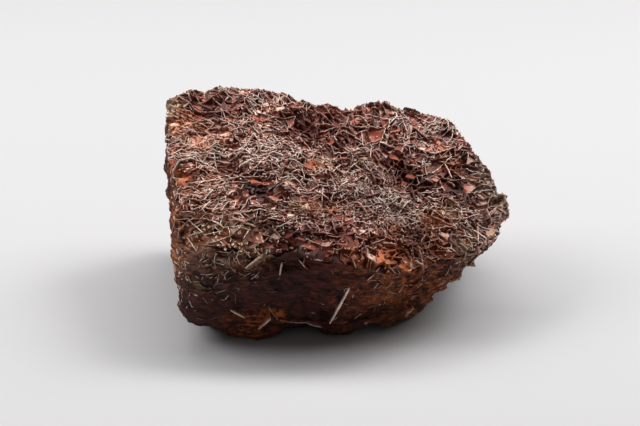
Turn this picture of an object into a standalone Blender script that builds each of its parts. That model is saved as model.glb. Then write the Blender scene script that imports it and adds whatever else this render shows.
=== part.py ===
"""Barite specimen: a broken block of iron-stained barite boxwork, modelled as the one piece that it grew as.

The block is a convex stone bounded by its natural breaks, with rounded arrises. Hollows, lumps and a ledge are
pressed into that form. Tabular barite crystals are joined to it in clusters, thickly on the weathered upper
faces and thinly on the fresh lower ones, and the knobs that it rests on are worn flat.

Frame: +Z up, origin on the resting plane at the middle of the stone, +X to the right and -Y to the front.
Breaks, dents and blades are placed from the heart of the stone, a point inside it.
"""

import math
import random
from typing import NamedTuple

import bmesh
import bpy
from mathutils import Matrix, Vector, noise

# Driving dimensions, in metres.
HEART = Vector((0.0000, -0.0062, 0.0420))  # where the heart of the stone is in the frame
ARRIS_SHARPNESS = 22  # higher gives sharper arrises where two breaks meet
SPREAD = Vector((0.080, 0.056, 0.042))  # half sizes of the stone, which spread the surface points evenly
SURFACE_STEPS = 5  # subdivisions of the sphere that the surface starts from
SURFACE_TRIANGLES = 2900  # what the surface is thinned to before the crystals are joined to it
GRAIN_SIZE = 0.015  # spacing of the coarse lumps of the broken surface
GRAIN_HEIGHT = 0.0024
KNOB_SIZE = 0.0072  # spacing of the small knobs
KNOB_HEIGHT = 0.0014
FLOOR_BLOCK = Vector((0.24, 0.20, 0.02))  # the cutter whose top is the resting plane

LEDGE_CREST = 0.009  # how far above the heart the weathered crust's lower edge is at its highest place
LEDGE_MIDDLE = -0.016  # where along X that place is
LEDGE_BOW = 5.6  # how fast the edge falls away to both sides, in metres a square metre
LEDGE_STEP = 0.0032  # how far the fresh face below stands back from the crust
LEDGE_ROUND = 0.0045  # height over which it steps back

CLUSTERS = 92
CRYSTALS_IN_CLUSTER = 2
CLUSTER_OFFSET = 0.7  # how far along its neighbour a crystal may meet it, as a share of the half length
CROSSING_ANGLE = (40, 90)  # degrees from one crystal of a cluster to the next
CRYSTAL_HALF_LENGTH = (0.0032, 0.0068)  # shortest and longest
CRYSTAL_STAND = (0.0013, 0.0029)  # how far a crystal stands out of the weathered crust
FRESH_STAND = 0.5  # share of that by which it stands out of a fresh break
CRYSTAL_ROOT = 0.0026  # how deep it goes into the stone
CRYSTAL_THICKNESS = (0.0006, 0.0010)
CRYSTAL_LEAN = 28  # most degrees that a cluster leans from square to the surface
CRYSTAL_SEED = 11
CRYSTAL_OUTLINE = ((-0.85, -1.0), (0.85, -1.0), (1.0, 0.9), (-0.7, 1.0))  # shares of half length, and of stand
FRESH_COVER = 0.12  # share of crystals kept on a fresh break, against 1 on the weathered crust
CRUST_TILT = (-0.10, 0.50)  # upward part of the normal where the crust begins, and where it is whole
LOWEST_CRYSTAL = -0.8  # upward part of the normal under which the stone bears no crystals


class Break(NamedTuple):
    """A plane that the stone broke along."""

    name: str
    bearing: float  # degrees round from +X towards +Y that the break faces
    tilt: float  # degrees above the horizontal that it faces
    distance: float  # from the heart of the stone


class Dent(NamedTuple):
    """A hollow, or a lump where depth is negative, around a place near the surface."""

    name: str
    place: tuple
    reach: float
    depth: float


class Blade(NamedTuple):
    """A large crystal that lies along the surface from one place to another, and stands out of it."""

    name: str
    start: tuple
    end: tuple
    stand: float
    thickness: float


BREAKS = (
    Break("upper_plateau", 268, 76, 0.0320),
    Break("upper_right", 306, 62, 0.0240),
    Break("front_shoulder", 262, 27, 0.0495),
    Break("front_dark", 270, -17, 0.0510),
    Break("front_right", 300, -20, 0.0520),
    Break("right_underside", 345, -43, 0.0575),
    Break("right_end", 25, 10, 0.0765),
    Break("right_back", 56, 8, 0.0752),
    Break("back_right_slope", 75, 40, 0.0660),
    Break("left_side", 190, -3, 0.0728),
    Break("left_back", 152, 10, 0.0930),
    Break("left_underside", 224, -54, 0.0680),
    Break("back", 92, 8, 0.0570),
    Break("back_underside", 100, -45, 0.0580),
    Break("underside", 0, -90, 0.0412),
)

DENTS = (
    Dent("back_notch", (0.000, 0.050, 0.035), 0.019, 0.0085),
    Dent("notch_valley", (-0.012, 0.032, 0.036), 0.014, 0.0040),
    Dent("back_peak", (0.018, 0.050, 0.039), 0.008, -0.0030),
    Dent("corner_knob", (-0.073, 0.038, 0.041), 0.010, -0.0045),
    Dent("right_hollow", (0.041, 0.012, 0.015), 0.014, 0.0045),
    Dent("middle_pit", (-0.034, -0.020, 0.027), 0.007, 0.0035),
    Dent("left_pit", (-0.067, -0.015, 0.028), 0.004, 0.0035),
    Dent("front_facet", (-0.013, -0.046, -0.014), 0.015, 0.0020),
    Dent("front_arch", (-0.022, -0.041, -0.041), 0.011, 0.0050),
    Dent("under_lip", (-0.008, -0.042, -0.034), 0.009, 0.0030),
    Dent("right_nick", (0.060, -0.012, -0.017), 0.006, 0.0030),
    Dent("back_scoop", (-0.030, 0.056, -0.002), 0.022, 0.0060),
    Dent("back_swell", (0.025, 0.057, -0.012), 0.020, -0.0040),
    Dent("front_left_foot", (-0.033, -0.034, -0.040), 0.010, -0.0034),
    Dent("front_right_foot", (0.000, -0.032, -0.040), 0.010, -0.0028),
    Dent("back_left_foot", (-0.052, 0.030, -0.040), 0.014, -0.0040),
    Dent("back_right_foot", (0.030, 0.028, -0.040), 0.014, -0.0040),
)

BLADES = (
    Blade("long_front_blade", (-0.0025, -0.0387, -0.0304), (0.0058, -0.0466, -0.0099), 0.0024, 0.0010),
    Blade("curved_rim_blade", (-0.0394, -0.0494, 0.0013), (-0.0288, -0.0473, 0.0096), 0.0026, 0.0008),
    Blade("upright_rim_blade", (-0.0236, -0.0486, 0.0043), (-0.0237, -0.0486, -0.0032), 0.0020, 0.0007),
    Blade("left_rim_blade", (-0.0667, -0.0415, -0.0011), (-0.0619, -0.0439, 0.0067), 0.0020, 0.0007),
    Blade("foot_blade", (-0.0333, -0.0373, -0.0370), (-0.0272, -0.0418, -0.0239), 0.0024, 0.0009),
    Blade("low_left_blade", (-0.0441, -0.0428, -0.0223), (-0.0384, -0.0417, -0.0271), 0.0018, 0.0007),
)


def facing(bearing, tilt):
    """The unit vector that points along a bearing and a tilt in degrees."""
    turn, rise = math.radians(bearing), math.radians(tilt)
    return Vector((math.cos(turn) * math.cos(rise), math.sin(turn) * math.cos(rise), math.sin(rise)))


def smooth_step(value):
    """0 below 0, 1 above 1 and a smooth rise between."""
    value = min(1.0, max(0.0, value))
    return value * value * (3.0 - 2.0 * value)


def block_point(direction):
    """The point of the smooth broken block in this direction from its heart, and the outward normal there."""
    total = 0.0
    normal = Vector((0.0, 0.0, 0.0))
    for side in BREAKS:
        outward = facing(side.bearing, side.tilt) / side.distance
        share = direction.dot(outward)
        if share > 0.0:
            total += share**ARRIS_SHARPNESS
            normal += outward * share ** (ARRIS_SHARPNESS - 1)
    return direction * total ** (-1.0 / ARRIS_SHARPNESS), normal.normalized()


def ledge_depth(point, normal):
    """How far the front's fresh face stands back here from the weathered crust above it."""
    edge = LEDGE_CREST - LEDGE_BOW * (point.x - LEDGE_MIDDLE) ** 2
    return LEDGE_STEP * smooth_step(-2.0 * normal.y - 0.4) * smooth_step((edge - point.z) / LEDGE_ROUND)


def surface_point(direction):
    """The point of the stone's surface in this direction from its heart, and the normal of its break there.

    Dents are pressed towards the heart, so that the surface never folds. Lumps and knobs stand square to it."""
    point, normal = block_point(direction)
    pressed = sum(dent.depth * math.exp(-(((point - Vector(dent.place)).length / dent.reach) ** 2)) for dent in DENTS)
    raised = GRAIN_HEIGHT * noise.noise(point / GRAIN_SIZE) + KNOB_HEIGHT * noise.noise(point / KNOB_SIZE)
    return point - direction * pressed + normal * (raised - ledge_depth(point, normal)), normal


def crust_share(normal):
    """1 where a break with this normal has weathered into crust, 0 where it is fresh, and between at its edge."""
    start, whole = CRUST_TILT
    return smooth_step((normal.z - start) / (whole - start))


def as_helper(name, data):
    """An object that only shapes the stone, kept out of the render and in a collection of its own."""
    helper = bpy.data.objects.new(name, data)
    helper.hide_render = True
    helper.display_type = "WIRE"
    helpers = bpy.data.collections.get("helpers")
    if helpers is None:
        helpers = bpy.data.collections.new("helpers")
        bpy.context.scene.collection.children.link(helpers)
    helpers.objects.link(helper)
    return helper


def stained_barite():
    """The stone's material: dark red-brown, rough and not metallic."""
    material = bpy.data.materials.new("iron_stained_barite")
    material.use_nodes = True
    shader = material.node_tree.nodes["Principled BSDF"]
    shader.inputs["Base Color"].default_value = (0.16, 0.075, 0.06, 1.0)
    shader.inputs["Roughness"].default_value = 0.85
    shader.inputs["Metallic"].default_value = 0.0
    return material


def build_stone():
    """The broken stone without its crystals, in a collection named for it."""
    mesh = bmesh.new()
    bmesh.ops.create_icosphere(mesh, subdivisions=SURFACE_STEPS, radius=1.0)
    for vertex in mesh.verts:
        vertex.co = HEART + surface_point((vertex.co * SPREAD).normalized())[0]
    data = bpy.data.meshes.new("barite_rock")
    mesh.to_mesh(data)
    mesh.free()
    data.materials.append(stained_barite())
    stone = bpy.data.objects.new("barite_rock", data)
    collection = bpy.data.collections.new("barite_specimen")
    bpy.context.scene.collection.children.link(collection)
    collection.objects.link(stone)
    thin = stone.modifiers.new("thin", "DECIMATE")
    thin.ratio = SURFACE_TRIANGLES / len(data.polygons)
    return stone


def add_crystal(mesh, place, axes, half_length, stand, thickness):
    """Adds one tabular crystal: its outline in its own plane, given a thickness.

    The columns of axes are the crystal's length, the way that it stands out, and the way across its thickness."""
    corners = []
    for across in (-thickness / 2, thickness / 2):
        for along, out in CRYSTAL_OUTLINE:
            rise = out * (stand if out > 0 else CRYSTAL_ROOT)
            corners.append(mesh.verts.new(place + axes @ Vector((along * half_length, rise, across))))
    count = len(CRYSTAL_OUTLINE)
    mesh.faces.new(corners[:count][::-1])
    mesh.faces.new(corners[count:])
    for i in range(count):
        j = (i + 1) % count
        mesh.faces.new((corners[i], corners[j], corners[count + j], corners[count + i]))


def crystal_axes(out, along):
    """The axes of a crystal that stands out in one direction and lies as near as it can to another."""
    along = (along - out * along.dot(out)).normalized()
    return Matrix((along, out, along.cross(out))).transposed()


def add_cluster(mesh, draw, place, normal, half_length):
    """Adds crystals that meet and cross at angles, the first the longest, all standing out the same way."""
    exposed = FRESH_STAND + (1.0 - FRESH_STAND) * crust_share(normal)
    along = normal.orthogonal().normalized()
    along.rotate(Matrix.Rotation(draw.uniform(0, math.tau), 3, normal))
    out = normal.copy()
    out.rotate(Matrix.Rotation(math.radians(draw.uniform(-CRYSTAL_LEAN, CRYSTAL_LEAN)), 3, along))
    for _ in range(CRYSTALS_IN_CLUSTER):
        stand, thickness = exposed * draw.uniform(*CRYSTAL_STAND), draw.uniform(*CRYSTAL_THICKNESS)
        add_crystal(mesh, place, crystal_axes(out, along), half_length, stand, thickness)
        place = place + along * draw.uniform(-CLUSTER_OFFSET, CLUSTER_OFFSET) * half_length
        along.rotate(Matrix.Rotation(math.radians(draw.uniform(*CROSSING_ANGLE)), 3, normal))
        half_length *= draw.uniform(0.6, 0.9)


def add_blade(mesh, blade):
    """Adds one of the large blades, and returns its middle and half its length."""
    ends = [surface_point(Vector(end).normalized()) for end in (blade.start, blade.end)]
    (start, start_normal), (end, end_normal) = ends
    normal = (start_normal + end_normal).normalized()
    middle, half_length = (start + end) / 2, (end - start).length / 2
    add_crystal(mesh, HEART + middle, crystal_axes(normal, end - start), half_length, blade.stand, blade.thickness)
    return middle, half_length


def build_crystals():
    """The crystals that stand out of the stone, as one helper object."""
    draw = random.Random(CRYSTAL_SEED)
    mesh = bmesh.new()
    taken = [add_blade(mesh, blade) for blade in BLADES]
    while len(taken) < CLUSTERS + len(BLADES):
        direction = Vector((draw.gauss(0, 1), draw.gauss(0, 1), draw.gauss(0, 1))) * SPREAD
        place, normal = surface_point(direction.normalized())
        half_length = draw.uniform(*CRYSTAL_HALF_LENGTH)
        if normal.z < LOWEST_CRYSTAL or draw.random() > FRESH_COVER + (1.0 - FRESH_COVER) * crust_share(normal):
            continue
        if any((place - other).length < half_length + reach for other, reach in taken):
            continue
        taken.append((place, half_length))
        add_cluster(mesh, draw, HEART + place, normal, half_length)
    bmesh.ops.recalc_face_normals(mesh, faces=mesh.faces)
    data = bpy.data.meshes.new("crystals")
    mesh.to_mesh(data)
    mesh.free()
    return as_helper("crystals", data)


def build_floor():
    """A block whose top is the resting plane, which wears the lowest knobs off flat."""
    mesh = bmesh.new()
    bmesh.ops.create_cube(mesh, size=1.0)
    bmesh.ops.scale(mesh, vec=FLOOR_BLOCK, verts=mesh.verts)
    bmesh.ops.translate(mesh, vec=(0.0, 0.0, -FLOOR_BLOCK.z / 2), verts=mesh.verts)
    data = bpy.data.meshes.new("floor")
    mesh.to_mesh(data)
    mesh.free()
    return as_helper("floor", data)


def boolean(stone, name, operation, other):
    """Adds a Boolean modifier to the stone. Crystals cross each other, so the union allows for that."""
    modifier = stone.modifiers.new(name, "BOOLEAN")
    modifier.operation = operation
    modifier.object = other
    modifier.use_self = operation == "UNION"


def main():
    for leftover in list(bpy.data.objects):
        bpy.data.objects.remove(leftover)
    stone = build_stone()
    boolean(stone, "join_crystals", "UNION", build_crystals())
    boolean(stone, "wear_flat", "DIFFERENCE", build_floor())


main()
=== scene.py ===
"""Dresses the barite specimen: a block of iron-stained barite boxwork on a pale floor under soft light.

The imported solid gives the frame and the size. The stone's ground is built again as a fine mesh from the same
breaks, dents and ledge, its large crystals are built again in the same places, and the network of thin barite
blades that covers its weathered crust grows on the ground. All lengths are metres unless a name says mm, and
places on the stone are measured from its heart, a point inside it.
"""

import logging
import math
import random
from dataclasses import dataclass, field
from enum import Enum
from typing import Any

import bmesh
import bpy
import numpy as np
from mathutils import Matrix, Vector, noise


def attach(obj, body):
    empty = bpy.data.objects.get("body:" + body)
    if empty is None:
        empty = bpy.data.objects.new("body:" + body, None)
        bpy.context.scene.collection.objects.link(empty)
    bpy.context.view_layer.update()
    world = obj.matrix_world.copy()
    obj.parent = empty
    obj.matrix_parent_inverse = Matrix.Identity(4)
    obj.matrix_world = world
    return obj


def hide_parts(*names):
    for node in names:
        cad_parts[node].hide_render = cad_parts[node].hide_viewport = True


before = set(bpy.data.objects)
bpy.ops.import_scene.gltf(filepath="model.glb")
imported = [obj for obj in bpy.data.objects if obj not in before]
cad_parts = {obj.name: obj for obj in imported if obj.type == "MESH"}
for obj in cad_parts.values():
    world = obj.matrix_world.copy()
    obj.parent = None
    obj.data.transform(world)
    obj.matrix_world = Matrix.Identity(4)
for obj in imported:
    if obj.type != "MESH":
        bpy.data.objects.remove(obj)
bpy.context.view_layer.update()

LOG = logging.getLogger("barite_specimen")
BODY = "root"
NODE = "barite_rock"
MM = 0.001
Triple = tuple[float, float, float]


def linear(code: str) -> tuple[float, float, float, float]:
    """Turns an sRGB colour into the linear one that shaders work in.

    Args:
        code: the colour as #rrggbb.

    Returns:
        The linear red, green, blue and an alpha of 1.
    """
    shares = [int(code[i : i + 2], 16) / 255 for i in (1, 3, 5)]
    red, green, blue = (s / 12.92 if s <= 0.04045 else ((s + 0.055) / 1.055) ** 2.4 for s in shares)
    return red, green, blue, 1.0


def grown(values: np.ndarray, span: tuple[float, float]) -> np.ndarray:
    """0 before a span's start, 1 past its end and a smooth rise between, for each value."""
    held = np.clip((values - span[0]) / (span[1] - span[0]), 0.0, 1.0)
    return held * held * (3.0 - 2.0 * held)


def unit(rows: np.ndarray) -> np.ndarray:
    """Each row made one long."""
    return rows / np.linalg.norm(rows, axis=1)[:, None]


def noise_at(points: np.ndarray, size: float | np.ndarray) -> np.ndarray:
    """Smooth noise from -1 to 1 at each point, in lumps of a size."""
    return np.array([noise.noise(row) for row in (points / size).tolist()])


def bumps_at(points: np.ndarray, bumps: list[tuple[Triple, float, float]]) -> np.ndarray:
    """The sum of round bumps at each point.

    Args:
        points: one row a point.
        bumps: each bump's middle, its reach and its height.

    Returns:
        A height for each point.
    """
    total = np.zeros(len(points))
    for middle, reach, height in bumps:
        total += height * np.exp(-((points - np.array(middle)) ** 2).sum(axis=1) / reach**2)
    return total


def tube_faces(first: int, sections: int, around: int) -> list[tuple[int, ...]]:
    """The faces of a closed tube, whose points run section by section.

    Args:
        first: the number of its first point.
        sections: how many cross-sections it has.
        around: how many points each cross-section has.

    Returns:
        Each face's points, sides first and then the two ends.
    """
    faces: list[tuple[int, ...]] = []
    for section in range(sections - 1):
        low = first + section * around
        for i in range(around):
            j = (i + 1) % around
            faces.append((low + i, low + around + i, low + around + j, low + j))
    last = first + (sections - 1) * around
    faces.append(tuple(range(first, first + around)))
    faces.append(tuple(range(last + around - 1, last - 1, -1)))
    return faces


def add_node(tree: bpy.types.NodeTree, kind: str, settings: dict[str, Any], links: dict[str, Any]) -> bpy.types.Node:
    """Adds a node to a tree.

    Args:
        tree: the node tree.
        kind: the node's type, such as ShaderNodeTexNoise.
        settings: values by name, of the node's own properties where it has them and of its inputs otherwise.
        links: the socket that feeds each input, by the input's name or number.

    Returns:
        The new node.
    """
    node = tree.nodes.new(kind)
    for name, value in settings.items():
        if hasattr(node, name):
            setattr(node, name, value)
        else:
            node.inputs[int(name) if name.isdigit() else name].default_value = value
    for name, socket in links.items():
        tree.links.new(socket, node.inputs[int(name) if name.isdigit() else name])
    return node


class Mineral(Enum):
    """What stains or coats a place on the stone, in the order that they are laid on. The value is the name of
    the mesh attribute that holds its share, and of its colour in a finish."""

    BRICK = "brick"
    OCHRE = "ochre"
    LIMONITE = "limonite"
    OLIVE = "olive"
    GREY = "grey"
    CREAM = "cream"


@dataclass(frozen=True)
class Break:
    """A plane that the stone broke along.

    bearing and tilt are the degrees round from +X and above the horizontal that it faces, and distance is how
    far it is from the heart."""

    name: str
    bearing: float
    tilt: float
    distance: float

    def outward(self) -> Vector:
        """Which way the break faces.

        Returns:
            The unit vector that it faces, over its distance from the heart.
        """
        turn, rise = math.radians(self.bearing), math.radians(self.tilt)
        facing = Vector((math.cos(turn) * math.cos(rise), math.sin(turn) * math.cos(rise), math.sin(rise)))
        return facing / self.distance


@dataclass(frozen=True)
class Dent:
    """A hollow, or a lump where depth is negative, around a place near the surface."""

    name: str
    place: Triple
    reach: float
    depth: float


@dataclass(frozen=True)
class Stain:
    """A mineral's patch on the surface, at its full share in the middle."""

    name: str
    mineral: Mineral
    place: Triple
    reach: float
    share: float


@dataclass(frozen=True)
class BigBlade:
    """A large crystal that lies along the surface from one place to another, and stands out of it.

    lean is how many degrees it has tipped over from standing straight out."""

    name: str
    start: Triple
    end: Triple
    stand: float
    thickness: float
    lean: float = 0.0


@dataclass
class StoneForm:
    """The shape of the broken block, as the solid has it."""

    heart: Triple = (0.0, -0.0062, 0.0420)
    arris_sharpness: int = 22
    spread: Triple = (0.080, 0.056, 0.042)
    grain_size: float = 0.015
    grain_height: float = 0.0024
    knob_size: float = 0.0072
    knob_height: float = 0.0014
    ledge_crest: float = 0.009
    ledge_middle: float = -0.016
    ledge_bow: float = 5.6
    ledge_step: float = 0.0032
    ledge_round: float = 0.0045
    # How far to the front a face looks where each of these starts, and where it is whole.
    ledge_facing: tuple[float, float] = (0.20, 0.70)
    fade_facing: tuple[float, float] = (0.10, 0.60)
    crust_tilt: tuple[float, float] = (-0.10, 0.50)
    swell_size: float = 0.0095
    swell_height: float = 0.0028
    swell_shift: Triple = (0.03, 0.01, 0.08)
    fresh_swell: float = 0.3
    fade_height: float = 0.013
    fade_size: float = 0.011
    fade_wander: float = 0.008
    # Where the network has half thinned out down the front: places along X, and the heights there.
    fade_line: tuple[tuple[float, float], ...] = (
        (-0.080, 0.016),
        (-0.064, 0.013),
        (-0.046, 0.012),
        (-0.029, 0.010),
        (-0.011, 0.009),
        (0.006, 0.006),
        (0.022, 0.001),
        (0.040, -0.004),
        (0.060, -0.008),
    )
    breaks: tuple[Break, ...] = (
        Break("upper_plateau", 268, 76, 0.0320),
        Break("upper_right", 306, 62, 0.0240),
        Break("front_shoulder", 262, 27, 0.0495),
        Break("front_dark", 270, -17, 0.0510),
        Break("front_right", 300, -20, 0.0520),
        Break("right_underside", 345, -43, 0.0575),
        Break("right_end", 25, 10, 0.0765),
        Break("right_back", 56, 8, 0.0752),
        Break("back_right_slope", 75, 40, 0.0660),
        Break("left_side", 190, -3, 0.0728),
        Break("left_back", 152, 10, 0.0930),
        Break("left_underside", 224, -54, 0.0680),
        Break("back", 92, 8, 0.0570),
        Break("back_underside", 100, -45, 0.0580),
        Break("underside", 0, -90, 0.0412),
    )
    dents: tuple[Dent, ...] = (
        Dent("back_notch", (0.000, 0.050, 0.035), 0.019, 0.0085),
        Dent("notch_valley", (-0.012, 0.032, 0.036), 0.014, 0.0040),
        Dent("back_peak", (0.018, 0.050, 0.039), 0.008, -0.0030),
        Dent("corner_knob", (-0.073, 0.038, 0.041), 0.010, -0.0045),
        Dent("right_hollow", (0.041, 0.012, 0.015), 0.014, 0.0045),
        Dent("middle_pit", (-0.034, -0.020, 0.027), 0.007, 0.0035),
        Dent("left_pit", (-0.067, -0.015, 0.028), 0.004, 0.0035),
        Dent("front_facet", (-0.013, -0.046, -0.014), 0.015, 0.0020),
        Dent("front_arch", (-0.022, -0.041, -0.041), 0.011, 0.0050),
        Dent("under_lip", (-0.008, -0.042, -0.034), 0.009, 0.0030),
        Dent("right_nick", (0.060, -0.012, -0.017), 0.006, 0.0030),
        Dent("back_scoop", (-0.030, 0.056, -0.002), 0.022, 0.0060),
        Dent("back_swell", (0.025, 0.057, -0.012), 0.020, -0.0040),
        Dent("front_left_foot", (-0.033, -0.034, -0.040), 0.010, -0.0034),
        Dent("front_right_foot", (0.000, -0.032, -0.040), 0.010, -0.0028),
        Dent("back_left_foot", (-0.052, 0.030, -0.040), 0.014, -0.0040),
        Dent("back_right_foot", (0.030, 0.028, -0.040), 0.014, -0.0040),
    )
    wear: tuple[Dent, ...] = (
        Dent("front_foot", (-0.0150, -0.0380, -0.0410), 0.009, 0.0036),
        Dent("front_right_foot", (0.0020, -0.0420, -0.0400), 0.011, 0.0050),
        Dent("right_foot_edge", (0.0210, -0.0390, -0.0350), 0.013, 0.0044),
        Dent("right_corner_low", (0.0400, -0.0290, -0.0290), 0.012, 0.0026),
        Dent("right_tip", (0.0785, 0.0060, 0.0010), 0.010, 0.0028),
        Dent("corner_knob_side", (-0.0790, 0.0300, 0.0380), 0.012, 0.0022),
        Dent("left_side_front", (-0.0740, -0.0300, 0.0050), 0.020, -0.0030),
        Dent("left_side_low", (-0.0690, -0.0380, -0.0200), 0.018, -0.0044),
        Dent("corner_rim", (-0.0520, 0.0480, 0.0420), 0.014, -0.0022),
        Dent("back_right_rim", (0.0310, 0.0450, 0.0340), 0.010, 0.0014),
        Dent("above_the_tip", (0.0765, 0.0141, 0.0085), 0.009, 0.0009),
        Dent("right_back_swell", (0.0680, 0.0280, 0.0175), 0.012, -0.0024),
        Dent("plateau_rim", (-0.0540, 0.0440, 0.0400), 0.016, -0.0014),
        Dent("right_back_edge", (0.0720, 0.0200, 0.0160), 0.016, 0.0010),
    )
    outward: np.ndarray = field(default_factory=lambda: np.zeros((0, 3)))

    def __post_init__(self) -> None:
        """Works out each break's plane once."""
        self.outward = np.array([side.outward() for side in self.breaks])

    def block_points(self, directions: np.ndarray) -> tuple[np.ndarray, np.ndarray]:
        """The smooth broken block, with rounded arrises between its breaks.

        Args:
            directions: unit vectors from the heart, one a row.

        Returns:
            The points in these directions, from the heart, and the outward normals there.
        """
        share = np.maximum(directions @ self.outward.T, 0.0)
        total = (share**self.arris_sharpness).sum(axis=1)
        normals = share ** (self.arris_sharpness - 1) @ self.outward
        return directions * (total ** (-1.0 / self.arris_sharpness))[:, None], unit(normals)

    def below_ledge(self, points: np.ndarray, normals: np.ndarray) -> np.ndarray:
        """1 on the fresh face under the ledge, 0 on the crust above it and between on the step itself."""
        edge = self.ledge_crest - self.ledge_bow * (points[:, 0] - self.ledge_middle) ** 2
        return grown(-normals[:, 1], self.ledge_facing) * grown(edge - points[:, 2], (0.0, self.ledge_round))

    def crust_share(self, normals: np.ndarray) -> np.ndarray:
        """1 where a break with this normal has weathered into crust, 0 where it is fresh."""
        return grown(normals[:, 2], self.crust_tilt)

    def surface_points(self, directions: np.ndarray) -> tuple[np.ndarray, np.ndarray]:
        """The solid's surface in these directions from its heart.

        Args:
            directions: unit vectors from the heart, one a row.

        Returns:
            The points, from the heart, and the outward normals of the smooth block.
        """
        points, normals = self.block_points(directions)
        pressed = bumps_at(points, [(dent.place, dent.reach, dent.depth) for dent in self.dents])
        raised = self.grain_height * noise_at(points, self.grain_size)
        raised += self.knob_height * noise_at(points, self.knob_size)
        raised -= self.ledge_step * self.below_ledge(points, normals)
        return points - directions * pressed[:, None] + normals * raised[:, None], normals

    def fading(self, points: np.ndarray, normals: np.ndarray) -> np.ndarray:
        """How far the network has thinned out down the front.

        Args:
            points: the surface's points, from the heart.
            normals: the outward normals there.

        Returns:
            A share from 0 to 1 for each point.
        """
        edge = np.interp(points[:, 0], *zip(*self.fade_line))
        edge += self.fade_wander * noise_at(points, self.fade_size)
        half = self.fade_height / 2
        return grown(-normals[:, 1], self.fade_facing) * grown(edge - points[:, 2], (-half, half))

    def weathered_points(self, directions: np.ndarray) -> tuple[np.ndarray, np.ndarray, np.ndarray]:
        """The surface as it has weathered, with the swells and the sunk zones of its crust.

        Args:
            directions: unit vectors from the heart, one a row.

        Returns:
            The points, from the heart, the outward normals of the smooth block, and the shares of crust.
        """
        points, normals = self.surface_points(directions)
        crust = self.crust_share(normals) * (1.0 - self.fading(points, normals))
        swell = self.swell_height * noise_at(points + np.array(self.swell_shift), self.swell_size)
        out = swell * (self.fresh_swell + (1.0 - self.fresh_swell) * crust) - zone_sum(points, "sunk")
        out -= bumps_at(points, [(dent.place, dent.reach, dent.depth) for dent in self.wear])
        return points + normals * out[:, None], normals, crust

    def in_frame(self, points: np.ndarray) -> np.ndarray:
        """Places points in the frame, held on the floor where they would sink into it.

        Args:
            points: one row a point, from the heart.

        Returns:
            The points in the frame.
        """
        placed = points + np.array(self.heart)
        placed[:, 2] = np.maximum(placed[:, 2], 0.0)
        return placed


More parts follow.
